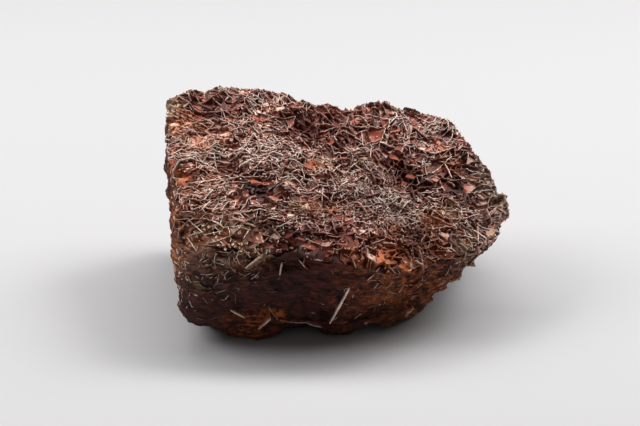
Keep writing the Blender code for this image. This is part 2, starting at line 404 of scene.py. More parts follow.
STAINS = (
    Stain("orange_corner", Mineral.LIMONITE, (-0.0713, 0.0253, 0.0388), 0.009, 0.85),
    Stain("orange_top_left", Mineral.LIMONITE, (-0.0600, 0.0124, 0.0362), 0.008, 0.40),
    Stain("rusty_left_side", Mineral.LIMONITE, (-0.0780, -0.0100, 0.0080), 0.024, 0.80),
    Stain("rusty_left_edge", Mineral.LIMONITE, (-0.0810, -0.0060, 0.0220), 0.011, 0.45),
    Stain("rusty_front_right", Mineral.LIMONITE, (0.0270, -0.0380, -0.0150), 0.022, 1.05),
    Stain("rusty_right_foot", Mineral.LIMONITE, (0.0433, -0.0234, -0.0240), 0.016, 1.1),
    Stain("orange_right_foot", Mineral.LIMONITE, (0.0429, -0.0275, -0.0165), 0.006, 1.2),
    Stain("orange_spark", Mineral.LIMONITE, (0.0220, -0.0443, 0.0015), 0.0036, 1.5),
    Stain("orange_spark_below", Mineral.LIMONITE, (0.0274, -0.0395, -0.0123), 0.0034, 1.3),
    Stain("orange_left_foot", Mineral.LIMONITE, (-0.0400, -0.0386, -0.0341), 0.009, 1.2),
    Stain("orange_foot_facet", Mineral.LIMONITE, (-0.0272, -0.0398, -0.0292), 0.0055, 2.2),
    Stain("orange_middle", Mineral.LIMONITE, (-0.0060, -0.0020, 0.0270), 0.006, 0.55),
    Stain("spark_centre", Mineral.LIMONITE, (0.0175, 0.0104, 0.0273), 0.0030, 1.1),
    Stain("spark_above_hollow", Mineral.LIMONITE, (0.0510, 0.0275, 0.0224), 0.0030, 1.0),
    Stain("spark_in_hollow", Mineral.LIMONITE, (0.0553, 0.0193, 0.0179), 0.0035, 1.1),
    Stain("spark_by_cream", Mineral.LIMONITE, (0.0509, -0.0027, 0.0101), 0.0025, 1.1),
    Stain("spark_right_low", Mineral.LIMONITE, (0.0415, -0.0154, 0.0074), 0.0040, 1.1),
    Stain("spark_below_weave", Mineral.LIMONITE, (0.0263, -0.0229, 0.0072), 0.0030, 0.9),
    Stain("spark_front_edge", Mineral.LIMONITE, (0.0265, -0.0418, 0.0036), 0.0040, 1.2),
    Stain("spark_ledge", Mineral.LIMONITE, (0.0075, -0.0450, 0.0068), 0.0035, 0.9),
    Stain("spark_middle", Mineral.LIMONITE, (-0.0012, -0.0229, 0.0173), 0.0035, 1.0),
    Stain("spark_hollow_edge", Mineral.LIMONITE, (0.0297, -0.0003, 0.0156), 0.0025, 1.1),
    Stain("spark_left", Mineral.LIMONITE, (-0.0619, 0.0057, 0.0345), 0.0035, 1.0),
    Stain("spark_left_of_pit", Mineral.LIMONITE, (-0.0543, 0.0090, 0.0351), 0.0025, 1.2),
    Stain("spark_plateau", Mineral.LIMONITE, (-0.0097, -0.0024, 0.0298), 0.0035, 1.1),
    Stain("spark_valley", Mineral.LIMONITE, (-0.0079, 0.0264, 0.0379), 0.0030, 1.0),
    Stain("spark_left_low", Mineral.LIMONITE, (-0.0554, -0.0145, 0.0281), 0.0025, 0.9),
    Stain("spark_centre_hollow", Mineral.LIMONITE, (-0.0097, -0.0225, 0.0196), 0.0030, 1.0),
    Stain("yellow_middle", Mineral.OLIVE, (-0.0214, -0.0112, 0.0280), 0.0030, 0.8),
    Stain("yellow_front", Mineral.OLIVE, (-0.0163, -0.0254, 0.0205), 0.0035, 0.8),
    Stain("orange_right", Mineral.LIMONITE, (0.0480, -0.0130, 0.0070), 0.006, 0.6),
    Stain("rusty_back", Mineral.LIMONITE, (-0.0200, 0.0570, -0.0100), 0.028, 0.6),
    Stain("brick_valley", Mineral.BRICK, (-0.0120, 0.0220, 0.0362), 0.014, 0.9),
    Stain("brick_notch", Mineral.BRICK, (-0.0020, 0.0350, 0.0380), 0.010, 0.7),
    Stain("brick_middle", Mineral.BRICK, (-0.0079, -0.0226, 0.0191), 0.009, 0.8),
    Stain("brick_hollow", Mineral.BRICK, (0.0302, 0.0120, 0.0200), 0.012, 0.45),
    Stain("brick_salmon", Mineral.BRICK, (0.0366, 0.0330, 0.0300), 0.014, 0.35),
    Stain("brick_centre", Mineral.BRICK, (0.0120, 0.0060, 0.0250), 0.014, 0.40),
    Stain("brick_left", Mineral.BRICK, (-0.0500, -0.0065, 0.0297), 0.0045, 0.9),
    Stain("brick_ledge", Mineral.BRICK, (0.0018, -0.0380, 0.0100), 0.016, 0.7),
    Stain("brick_corner", Mineral.BRICK, (-0.0560, 0.0340, 0.0410), 0.008, 0.5),
    Stain("ochre_shoulder", Mineral.OCHRE, (-0.0570, -0.0430, 0.0080), 0.014, 0.80),
    Stain("rusty_left_rim", Mineral.LIMONITE, (-0.0730, -0.0350, 0.0000), 0.009, 1.2),
    Stain("rusty_left_rim_high", Mineral.LIMONITE, (-0.0740, -0.0320, 0.0130), 0.009, 0.9),
    Stain("ochre_bend", Mineral.OCHRE, (-0.0370, -0.0460, 0.0100), 0.011, 0.60),
    Stain("olive_shoulder", Mineral.OLIVE, (-0.0640, -0.0400, 0.0040), 0.010, 0.15),
    Stain("olive_speck", Mineral.OLIVE, (-0.0602, -0.0440, -0.0088), 0.003, 1.2),
    Stain("olive_underside", Mineral.OLIVE, (0.0200, 0.0100, -0.0420), 0.030, 0.4),
    Stain("grey_rind", Mineral.GREY, (0.0770, 0.0141, 0.0100), 0.013, 1.0),
    Stain("grey_network", Mineral.GREY, (0.0310, -0.0160, 0.0100), 0.014, 0.55),
    Stain("grey_tip", Mineral.GREY, (0.0687, -0.0078, 0.0014), 0.012, 0.35),
    Stain("cream_corner", Mineral.CREAM, (-0.0785, 0.0370, 0.0400), 0.006, 1.3),
    Stain("golden_knob", Mineral.LIMONITE, (-0.0785, 0.0370, 0.0400), 0.006, 0.5),
    Stain("pale_rind", Mineral.CREAM, (0.0790, 0.0080, 0.0050), 0.007, 0.7),
    Stain("cream_foot", Mineral.CREAM, (0.0580, -0.0200, -0.0040), 0.006, 0.9),
    Stain("cream_cluster", Mineral.CREAM, (0.0526, -0.0048, 0.0081), 0.0035, 1.1),
    Stain("cream_middle", Mineral.CREAM, (0.0120, 0.0050, 0.0260), 0.007, 0.45),
    Stain("cream_left", Mineral.CREAM, (-0.0040, 0.0030, 0.0280), 0.004, 0.6),
)


@dataclass(frozen=True)
class Zone:
    """A stretch of the surface that differs from the rest, most in its middle.

    mesh is how wide its cells are against the others, bare how few of its walls stand, the darkening how much darker it
    is, partly from the iron that coloured it and partly as painted shade where the place lies out of the lamps' light,
    and paler in its own colour below nought, and sunk how far it lies under the rest."""

    name: str
    place: Triple
    reach: float
    mesh: float
    bare: float
    iron_and_shade: float
    sunk: float = 0.0


# A zone's darkening is partly the iron's own darker colour and partly painted shade: the pits, hollows and valleys, the
# front ledge and the slope at the right back are painted darker as if the lamps reached them less. Below nought a zone
# is paler in its own colour.
ZONES = (
    Zone("valley_behind_the_notch", (-0.0040, 0.0250, 0.0355), 0.014, 1.30, 0.15, 0.60, 0.0020),
    Zone("valley_to_the_left", (-0.0150, 0.0230, 0.0365), 0.011, 1.22, 0.10, 0.95, 0.0016),
    Zone("notch_edge", (-0.0343, 0.0330, 0.0401), 0.008, 1.20, 0.20, 0.5, 0.0006),
    Zone("back_peak", (0.0200, 0.0460, 0.0390), 0.010, 1.25, 0.15, 0.6),
    Zone("right_field", (0.0330, 0.0120, 0.0200), 0.026, 1.22, 0.0, 0.05),
    Zone("right_of_centre", (0.0262, 0.0160, 0.0225), 0.008, 1.30, 0.10, 0.50),
    Zone("right_low", (0.0520, -0.0160, 0.0040), 0.018, 1.20, 0.05, 0.15),
    Zone("lower_right_slope", (0.0280, -0.0290, 0.0060), 0.012, 1.10, 0.10, 0.20),
    Zone("lower_right_edge", (0.0370, -0.0320, -0.0020), 0.010, 1.05, 0.15, 1.4),
    Zone("right_hollow", (0.0320, 0.0110, 0.0185), 0.011, 1.30, 0.0, 0.60, 0.0010),
    Zone("right_hollow_front", (0.0440, 0.0050, 0.0145), 0.011, 1.22, 0.0, 0.35, 0.0007),
    Zone("right_hollow_far", (0.0560, 0.0130, 0.0150), 0.011, 1.22, 0.0, 0.50, 0.0006),
    Zone("right_back_slope", (0.0600, 0.0270, 0.0205), 0.010, 1.10, 0.10, 0.45),
    Zone("above_the_hollow", (0.0400, 0.0320, 0.0290), 0.014, 0.68, 0.0, -0.80, -0.0006),
    Zone("far_blade", (0.0450, 0.0300, 0.0270), 0.004, 1.00, 1.0, 0.0),
    Zone("right_end_cells", (0.0640, 0.0040, 0.0090), 0.009, 1.30, 0.0, 0.7, 0.0008),
    Zone("right_front_slope", (0.0510, -0.0200, 0.0010), 0.008, 1.00, 0.0, 0.6),
    Zone("tip_faces", (0.0687, -0.0100, 0.0005), 0.010, 1.00, 0.0, -0.8),
    Zone("tip_top", (0.0740, 0.0040, 0.0060), 0.008, 1.00, 0.0, -0.8),
    Zone("middle_pit", (-0.0370, -0.0200, 0.0275), 0.0080, 1.60, 0.70, 1.1, 0.0020),
    Zone("middle_pit_right", (-0.0270, -0.0215, 0.0262), 0.0065, 1.50, 0.60, 1.1, 0.0018),
    Zone("left_pit", (-0.0668, -0.0122, 0.0280), 0.0050, 1.60, 1.0, 1.8, 0.0028),
    Zone("round_pit", (-0.0528, 0.0165, 0.0372), 0.0036, 1.60, 1.0, 1.3, 0.0022),
    Zone("long_pit", (-0.0465, 0.0060, 0.0345), 0.0036, 1.50, 0.9, 0.8, 0.0015),
    Zone("brick_pit", (-0.0500, -0.0065, 0.0297), 0.0045, 1.40, 0.40, 0.9, 0.0016),
    Zone("corner_hollow", (-0.0597, 0.0330, 0.0405), 0.009, 1.20, 0.20, 0.9, 0.0008),
    Zone("corner_edge", (-0.0809, 0.0285, 0.0338), 0.006, 1.00, 1.0, 0.0),
    Zone("tan_knob", (-0.0785, 0.0370, 0.0400), 0.006, 1.00, 0.40, -0.8),
    Zone("peak_edge", (0.0096, 0.0408, 0.0380), 0.006, 1.20, 0.9, 0.0),
    Zone("centre_hollow", (-0.0110, -0.0100, 0.0230), 0.010, 1.20, 0.15, -0.45, 0.0004),
    Zone("peach_left", (-0.0590, 0.0110, 0.0360), 0.010, 0.75, 0.0, -0.85, -0.0006),
    Zone("peach_side", (-0.0690, -0.0030, 0.0305), 0.007, 0.80, 0.0, -0.8),
    Zone("peach_below", (-0.0570, -0.0010, 0.0325), 0.007, 0.90, 0.0, -1.1),
    Zone("lavender_plateau", (-0.0320, 0.0020, 0.0345), 0.013, 0.68, 0.0, -0.70, -0.0008),
    Zone("pale_centre", (0.0060, 0.0000, 0.0260), 0.013, 0.85, 0.0, 0.0, -0.0006),
    Zone("middle_front", (-0.0010, -0.0190, 0.0190), 0.009, 1.00, 0.0, 0.5),
    Zone("left_of_middle", (-0.0390, -0.0120, 0.0295), 0.007, 1.00, 0.0, 0.5),
    Zone("fine_left", (-0.0560, -0.0200, 0.0270), 0.012, 0.70, 0.0, -0.3, -0.0003),
    Zone("pale_rim", (-0.0340, 0.0420, 0.0400), 0.012, 0.80, 0.0, -0.85),
    Zone("fine_front", (-0.0160, -0.0330, 0.0180), 0.010, 0.70, 0.0, 0.1, -0.0003),
    Zone("grey_weave", (0.0290, -0.0150, 0.0115), 0.011, 0.45, 0.0, 0.0, -0.0005),
    Zone("left_shoulder", (-0.0580, -0.0430, 0.0070), 0.015, 1.10, 0.45, -1.1),
    Zone("shoulder_bend", (-0.0464, -0.0470, 0.0050), 0.014, 1.10, 0.40, 0.0),
    Zone("front_shoulder", (-0.0288, -0.0476, 0.0060), 0.012, 1.20, 0.45, 0.75, 0.0006),
    Zone("front_lip", (-0.0200, -0.0424, 0.0139), 0.008, 1.00, 0.10, 0.60),
    Zone("ledge_middle", (-0.0080, -0.0460, 0.0050), 0.012, 1.15, 0.30, 0.35),
    Zone("ledge_band", (0.0018, -0.0370, 0.0105), 0.010, 1.10, 0.25, 0.4),
    Zone("ledge_right", (0.0120, -0.0440, 0.0030), 0.013, 1.15, 0.35, 0.55),
)


def zone_sum(points: np.ndarray, what: str) -> np.ndarray:
    """The zones' values of one kind, each weighed by how near its middle a point is."""
    return bumps_at(points, [(zone.place, zone.reach, getattr(zone, what)) for zone in ZONES])


def mesh_width(points: np.ndarray) -> np.ndarray:
    """How wide the cells are at each point against the others."""
    return np.exp(bumps_at(points, [(zone.place, zone.reach, math.log(zone.mesh)) for zone in ZONES]))


def stain_shares(points: np.ndarray) -> dict[str, np.ndarray]:
    """How much of each mineral stains each point.

    Args:
        points: one row a point, from the heart.

    Returns:
        A share from 0 to 1 for each point, by the mineral's attribute name.
    """
    shares = {mineral.value: np.zeros(len(points)) for mineral in Mineral}
    for stain in STAINS:
        away = np.linalg.norm(points - np.array(stain.place), axis=1) / stain.reach
        shares[stain.mineral.value] += stain.share * np.exp(-(away**2))
    return {name: np.clip(share, 0.0, 1.0) for name, share in shares.items()}


def mesh_object(
    name: str, points: np.ndarray, faces: list[tuple[int, ...]], shares: dict[str, np.ndarray]
) -> bpy.types.Object:
    """Makes a mesh object that carries a value for each of its points.

    Args:
        name: the piece's name.
        points: one row a point, in the frame.
        faces: the points of each face, in order round its outside.
        shares: the values, by attribute name.

    Returns:
        The new object, in the scene.
    """
    data = bpy.data.meshes.new(name)
    data.from_pydata(points.tolist(), [], faces)
    for attribute, values in shares.items():
        data.attributes.new(attribute, "FLOAT", "POINT").data.foreach_set("value", values.astype(np.float32))
    made = bpy.data.objects.new(name, data)
    bpy.context.scene.collection.objects.link(made)
    return made


def dress(made: bpy.types.Object, finish: "StoneFinish") -> bpy.types.Object:
    """Gives a piece its finish and the body that it rides on.

    Args:
        made: the bare piece.
        finish: the finish of all of it.

    Returns:
        The same piece.
    """
    made.data.materials.append(finish.build())
    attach(made, BODY)
    return made


@dataclass
class Ground:
    """The broken rock itself: close-meshed and chipped where it is fresh, and coarse under the crust's cells."""

    form: StoneForm
    name: str
    steps: int
    crust_range: tuple[float, float]
    extra_sink: float = 0.0
    sink: float = 0.0028  # how far the rock lies under the top of the crust
    sink_start: tuple[float, float] = (0.10, 0.40)
    margin: float = 0.0002  # how far all of it lies under the solid's skin
    # The flat chips that the rock has broken into, large and small: their size, and how steep they tilt.
    facets: tuple[tuple[float, float], ...] = ((0.0068, 0.19), (0.0027, 0.17))
    facet_joint: float = 0.16  # how much of its size a facet takes to fall to nothing where it meets the next
    facet_draw: float = 7.3  # which tilt each facet draws
    covered: float = 0.6  # how much flatter the facets are where crust covers them
    pit_size: float = 0.0034
    pit_height: float = 0.00045
    pit_shape: tuple[float, float] = (2.0, -0.5)
    grit_size: float = 0.0014
    grit_height: float = 0.00036
    grain_size: float = 0.0014 / 2.3
    grain_height: float = 0.00024
    band_size: Triple = (0.0160, 0.0060, 0.0011)
    band_height: float = 0.00026
    hollow_depth: float = 0.0016  # how deep a hollow is where it counts as wholly shaded

    def directions(self) -> tuple[np.ndarray, np.ndarray]:
        """A cube that is divided evenly and rounded to a ball.

        Returns:
            The directions of its points, and the corners of its faces.
        """
        mesh = bmesh.new()
        bmesh.ops.create_cube(mesh, size=2.0)
        bmesh.ops.subdivide_edges(mesh, edges=mesh.edges, cuts=self.steps - 1, use_grid_fill=True)
        mesh.verts.index_update()
        faces = np.array([[vertex.index for vertex in face.verts] for face in mesh.faces])
        even = np.tan(np.array([vertex.co[:] for vertex in mesh.verts]) * math.pi / 4)
        mesh.free()
        return unit(unit(even) * np.array(self.form.spread)), faces

    def chipped(self, points: np.ndarray, size: float, slope: float) -> np.ndarray:
        """The height of flat facets, each a plane of its own tilt.

        Args:
            points: the surface's points, from the heart.
            size: how wide the facets are.
            slope: how steep the steepest are.

        Returns:
            A height for each point.
        """
        heights = []
        for row in (points / size).tolist():
            away, near = noise.voronoi(row)
            held = min(1.0, (away[1] - away[0]) / self.facet_joint)
            heights.append((Vector(row) - near[0]).dot(noise.cell_vector(near[0] * self.facet_draw)) * held)
        return np.array(heights) * slope * size

    def build(self) -> bpy.types.Object:
        """Builds the piece, which stands for the solid.

        Returns:
            The dressed piece.
        """
        directions, faces = self.directions()
        low, high = self.crust_range
        points, normals, crust = self.form.weathered_points(directions)
        mean = crust[faces].mean(axis=1)
        used, faces = np.unique(faces[(mean >= low) & (mean <= high)], return_inverse=True)
        points, normals, crust = points[used], normals[used], crust[used]
        out = sum(self.chipped(points, size, slope) for size, slope in self.facets) * (1.0 - self.covered * crust)
        steep, base = self.pit_shape
        out += self.pit_height * (steep * np.abs(noise_at(points, self.pit_size)) + base)
        out += self.band_height * noise_at(points, np.array(self.band_size))
        out += self.grit_height * noise_at(points, self.grit_size)
        out += self.grain_height * noise_at(points, self.grain_size)
        out -= self.sink * grown(crust, self.sink_start) + self.extra_sink + self.margin
        points = points + normals * out[:, None]
        # Painted shade: the deeper a point lies, the darker the rock's colour is made there.
        hollow = np.clip(0.5 - out / self.hollow_depth, 0.0, 1.0)
        shares = stain_shares(points) | {"crust": crust, "hollow": hollow, "iron_and_shade": zone_sum(points, "iron_and_shade")}
        made = mesh_object(self.name, self.form.in_frame(points), faces.reshape(-1, 4).tolist(), shares)
        made.data.shade_smooth()
        dress(made, OxideCoatedRock())
        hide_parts(NODE)
        return made


def plate_section(rim: float) -> tuple[Triple, ...]:
    """The points round a plate's cross-section: its wide root, its faces' tops and its bare rim.

    Args:
        rim: half of the rim's width, as a share of the thickness.

    Returns:
        How far across each point is as a share of the thickness, 1 at the top and 0 at the root, and its share
        of rim.
    """
    root, top, half_bare = 0.60, 0.50, 0.72
    faces = ((-root, 0.0, 0.0), (root, 0.0, 0.0), (top, 1.0, half_bare))
    return (*faces, (rim, 1.0, 1.0), (-rim, 1.0, 1.0), (-top, 1.0, half_bare))


@dataclass
class BladeRows:
    """Blades laid out one a row, from the heart: each one's middle, its length's and its standing direction,
    and its sizes. tint is a number from 0 to 1 that sets each blade's own shade."""

    middle: np.ndarray
    along: np.ndarray
    out: np.ndarray
    half_length: np.ndarray
    stand: np.ndarray
    root: np.ndarray
    thickness: np.ndarray
    bow: np.ndarray
    top_start: np.ndarray
    top_end: np.ndarray
    ragged: np.ndarray
    tint: np.ndarray
    crust: np.ndarray

    SECTION = plate_section(0.34)
    SHOULDER = 0.00022  # how far under the rim a blade's faces start
    ROUGH = 0.08  # the raggedness from which a rim counts as wholly broken
    TAPER = 0.65  # how much of its thickness a blade loses at its ends
    WIDTHS = (0.65, 1.25)  # how much a blade's thickness varies along it
    WORN_ENDS = 0.5  # how much of its stand a broken blade loses at its ends
    BOW_MEAN = 0.33  # keeps a bowed blade on its line
    SWAY = 0.35  # how far a broken blade's rim wavers, as a share of its thickness
    ROOT_SHARE = 0.88  # how much of its half length a blade has at its root

    def piece(self, name: str, form: StoneForm, stations: int, draw: np.random.Generator) -> bpy.types.Object:
        """Builds the blades as one mesh.

        Args:
            name: the piece's name.
            form: the stone that they stand on.
            stations: how many cross-sections each blade has.
            draw: the source of the raggedness of the rims.

        Returns:
            The piece, without its material.
        """
        count, around = len(self.middle), len(self.SECTION)
        step = np.linspace(-1.0, 1.0, stations)
        width = self.thickness[:, None] * (1.0 - self.TAPER * np.abs(step) ** 3)
        width = width * draw.uniform(*self.WIDTHS, (count, stations))
        across = np.cross(self.along, self.out)
        wave = draw.uniform(-1.0, 1.0, (count, stations)) * self.ragged[:, None]
        rough = np.minimum(1.0, self.ragged / self.ROUGH)[:, None]  # 0 on a whole blade, 1 on a broken one
        height = self.stand[:, None] * (1.0 + wave) * (1.0 - self.WORN_ENDS * rough * np.abs(step) ** 4)
        sway = self.bow[:, None] * (step**2 - self.BOW_MEAN) * self.half_length[:, None]
        sway += draw.uniform(-self.SWAY, self.SWAY, (count, stations)) * self.thickness[:, None] * rough
        top = self.top_start[:, None] + (self.top_end - self.top_start)[:, None] * (step + 1.0) / 2.0
        points = np.zeros((count, stations, around, 3))
        rim = np.zeros((count, stations, around))
        for i, (side, reach, share) in enumerate(self.SECTION):
            rise = reach * height - (1.0 - reach) * self.root[:, None]
            if share < 1.0 and reach > 0.0:
                rise = rise - self.SHOULDER
            place = (reach * top + (1.0 - reach) * step * self.ROOT_SHARE) * self.half_length[:, None]
            offset = sway + side * width
            points[:, :, i] = (
                self.middle[:, None, :]
                + self.along[:, None, :] * place[..., None]
                + self.out[:, None, :] * rise[..., None]
                + across[:, None, :] * offset[..., None]
            )
            rim[:, :, i] = share
        each = stations * around
        faces = [face for blade in range(count) for face in tube_faces(blade * each, stations, around)]
        flat = points.reshape(-1, 3)
        shares = stain_shares(flat) | {
            "rim": rim.reshape(-1),
            "tint": np.repeat(self.tint, each),
            "crust": np.repeat(self.crust, each),
            "iron_and_shade": np.repeat(zone_sum(self.middle, "iron_and_shade"), each),
        }
        return mesh_object(name, form.in_frame(flat), faces, shares)


@dataclass
class LargeCrystals:
    """The crystals that the solid carries: crossing clusters on the crust, and large single blades in front."""

    form: StoneForm
    clusters: int = 92
    in_cluster: int = 2
    cluster_offset: float = 0.7
    crossing_angle: tuple[float, float] = (40, 90)
    next_length: tuple[float, float] = (0.6, 0.9)  # how long each crystal is against the one before it
    half_length: tuple[float, float] = (0.0032, 0.0068)
    stand: tuple[float, float] = (0.0013, 0.0029)
    fresh_stand: float = 0.5
    root: float = 0.0026
    thickness: tuple[float, float] = (0.0006, 0.0010)
    lean: float = 28
    seed: int = 11
    fresh_cover: float = 0.12
    lowest: float = -0.8
    thinned: float = 0.50  # how thick a blade's rim is against the solid's plate
    worn: float = 0.52  # how high it stands against the solid's plate
    worn_bare: float = 0.75  # how much lower it stands where the crust is bare
    broken_off: float = 0.006  # how far down it is broken away where nothing of the crust is left
    broken_start: float = 0.5  # the bareness from which it is broken
    sunk: tuple[float, float] = (-0.0005, 0.0020)  # how far it follows the crust's sunk zones
    deeper_root: float = 0.0020
    bow: float = 0.03
    tip: float = -0.7  # where a worn blade's rim starts, as a share of its half length
    ragged: float = 0.08
    tints: tuple[float, float] = (0.0, 0.8)
    stations: int = 9
    # The same for the large single blades in front, which are whole.
    thinned_named: float = 1.15
    worn_named: float = 0.85
    tip_named: float = -0.97
    ragged_named: float = 0.01
    tint_named: float = 0.75
    blades: tuple[BigBlade, ...] = (
        BigBlade("long_front_blade", (-0.0025, -0.0387, -0.0304), (0.0058, -0.0466, -0.0099), 0.0024, 0.0010),
        BigBlade("curved_rim_blade", (-0.0394, -0.0494, 0.0013), (-0.0288, -0.0473, 0.0096), 0.0020, 0.0008, -22.0),
        BigBlade("upright_rim_blade", (-0.0236, -0.0486, 0.0043), (-0.0237, -0.0486, -0.0032), 0.0020, 0.0007),
        BigBlade("left_rim_blade", (-0.0667, -0.0415, -0.0011), (-0.0619, -0.0439, 0.0067), 0.0020, 0.0007),
        BigBlade("foot_blade", (-0.0333, -0.0373, -0.0370), (-0.0272, -0.0418, -0.0239), 0.0024, 0.0009),
        BigBlade("low_left_blade", (-0.0441, -0.0428, -0.0223), (-0.0384, -0.0417, -0.0271), 0.0018, 0.0007),
    )
    rows: list[tuple[Vector, Vector, Vector, float, float, float, float]] = field(default_factory=list)

    def surface_point(self, direction: Vector) -> tuple[Vector, Vector]:
        """The solid's surface in a direction from the heart, and the normal of its break there."""
        points, normals = self.form.surface_points(np.array([direction.normalized()]))
        return Vector(points[0]), Vector(normals[0])

    def crust_share(self, normal: Vector) -> float:
        """The share of crust on a break with this normal."""
        return float(self.form.crust_share(np.array([normal]))[0])

    def add(
        self, place: Vector, normal: Vector, out: Vector, along: Vector, half_length: float, stand: float, thick: float
    ) -> None:
        """Adds one crystal.

        Args:
            place: where it stands on the surface.
            normal: the normal of the break there.
            out: the way that it stands out.
            along: the way that it lies as near to as it can.
            half_length: half of its length.
            stand: how far it stands out.
            thick: how thick it is.
        """
        along = (along - out * along.dot(out)).normalized()
        crust = self.crust_share(normal)
        self.rows.append((place.copy(), along, out.copy(), half_length, stand, thick, crust))

    def add_cluster(self, draw: random.Random, place: Vector, normal: Vector, half_length: float) -> None:
        """Adds crystals that meet and cross at angles, the first the longest, all standing out the same way.

        Args:
            draw: the source of the random choices.
            place: where the first stands on the surface.
            normal: the normal of the break there.
            half_length: half of the first one's length.
        """
        exposed = self.fresh_stand + (1.0 - self.fresh_stand) * self.crust_share(normal)
        along = normal.orthogonal().normalized()
        along.rotate(Matrix.Rotation(draw.uniform(0, math.tau), 3, normal))
        out = normal.copy()
        out.rotate(Matrix.Rotation(math.radians(draw.uniform(-self.lean, self.lean)), 3, along))
        for _ in range(self.in_cluster):
            stand, thick = exposed * draw.uniform(*self.stand), draw.uniform(*self.thickness)
            self.add(place, normal, out, along, half_length, stand, thick)
            place = place + along * draw.uniform(-self.cluster_offset, self.cluster_offset) * half_length
            along.rotate(Matrix.Rotation(math.radians(draw.uniform(*self.crossing_angle)), 3, normal))
            half_length *= draw.uniform(*self.next_length)

    def add_big_blade(self, blade: BigBlade) -> tuple[Vector, float]:
        """Adds one of the large single blades.

        Args:
            blade: the blade.

        Returns:
            Its middle, from the heart, and half its length.
        """
        ends = [self.surface_point(Vector(end)) for end in (blade.start, blade.end)]
        (start, start_normal), (end, end_normal) = ends
        normal = (start_normal + end_normal).normalized()
        middle, half_length = (start + end) / 2, (end - start).length / 2
        self.add(middle, normal, normal, end - start, half_length, blade.stand, blade.thickness)
        return middle, half_length

    def lay_out(self) -> None:
        """Places every crystal where the solid has it, by the same draws in the same order."""
        draw = random.Random(self.seed)
        spread = Vector(self.form.spread)
        taken = [self.add_big_blade(blade) for blade in self.blades]
        while len(taken) < self.clusters + len(self.blades):
            direction = Vector((draw.gauss(0, 1), draw.gauss(0, 1), draw.gauss(0, 1))) * spread
            place, normal = self.surface_point(direction)
            half_length = draw.uniform(*self.half_length)
            cover = self.fresh_cover + (1.0 - self.fresh_cover) * self.crust_share(normal)
            if normal.z < self.lowest or draw.random() > cover:
                continue
            if any((place - other).length < half_length + reach for other, reach in taken):
                continue
            taken.append((place, half_length))
            self.add_cluster(draw, place, normal, half_length)

    def build(self) -> bpy.types.Object:
        """Builds the crystals as one piece, which stands for the solid with the ground.

        Returns:
            The dressed piece.
        """
        self.lay_out()
        draw = np.random.default_rng(self.seed)
        count = len(self.rows)
        for row, blade in zip(self.rows, self.blades):
            row[2].rotate(Matrix.Rotation(math.radians(blade.lean), 3, row[1]))
        middle, along, out, half_length, stand, thick, crust = zip(*self.rows)
        middle = np.array(middle)
        whole = np.arange(count) < len(self.blades)
        bare = np.clip(zone_sum(middle, "bare"), 0.0, 1.0)
        down = np.clip(zone_sum(middle, "sunk"), *self.sunk)
        down += self.broken_off * np.maximum(bare - self.broken_start, 0.0) * ~whole
        rows = BladeRows(
            middle=middle - np.array(out) * down[:, None],
            along=np.array(along),
            out=np.array(out),
            half_length=np.array(half_length),
            stand=np.array(stand) * np.where(whole, self.worn_named, self.worn * (1.0 - self.worn_bare * bare)),
            root=np.full(count, self.root + self.deeper_root),
            thickness=np.array(thick) * np.where(whole, self.thinned_named, self.thinned),
            bow=draw.uniform(-self.bow, self.bow, count) * ~whole,
            top_start=np.where(whole, self.tip_named, self.tip),
            top_end=np.ones(count),
            ragged=np.where(whole, self.ragged_named, self.ragged),
            tint=np.where(whole, self.tint_named, draw.uniform(*self.tints, count)),
            crust=np.array(crust),
        )
        made = dress(rows.piece("large_crystals", self.form, self.stations, draw), TabularBarite())
        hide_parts(NODE)
        return made


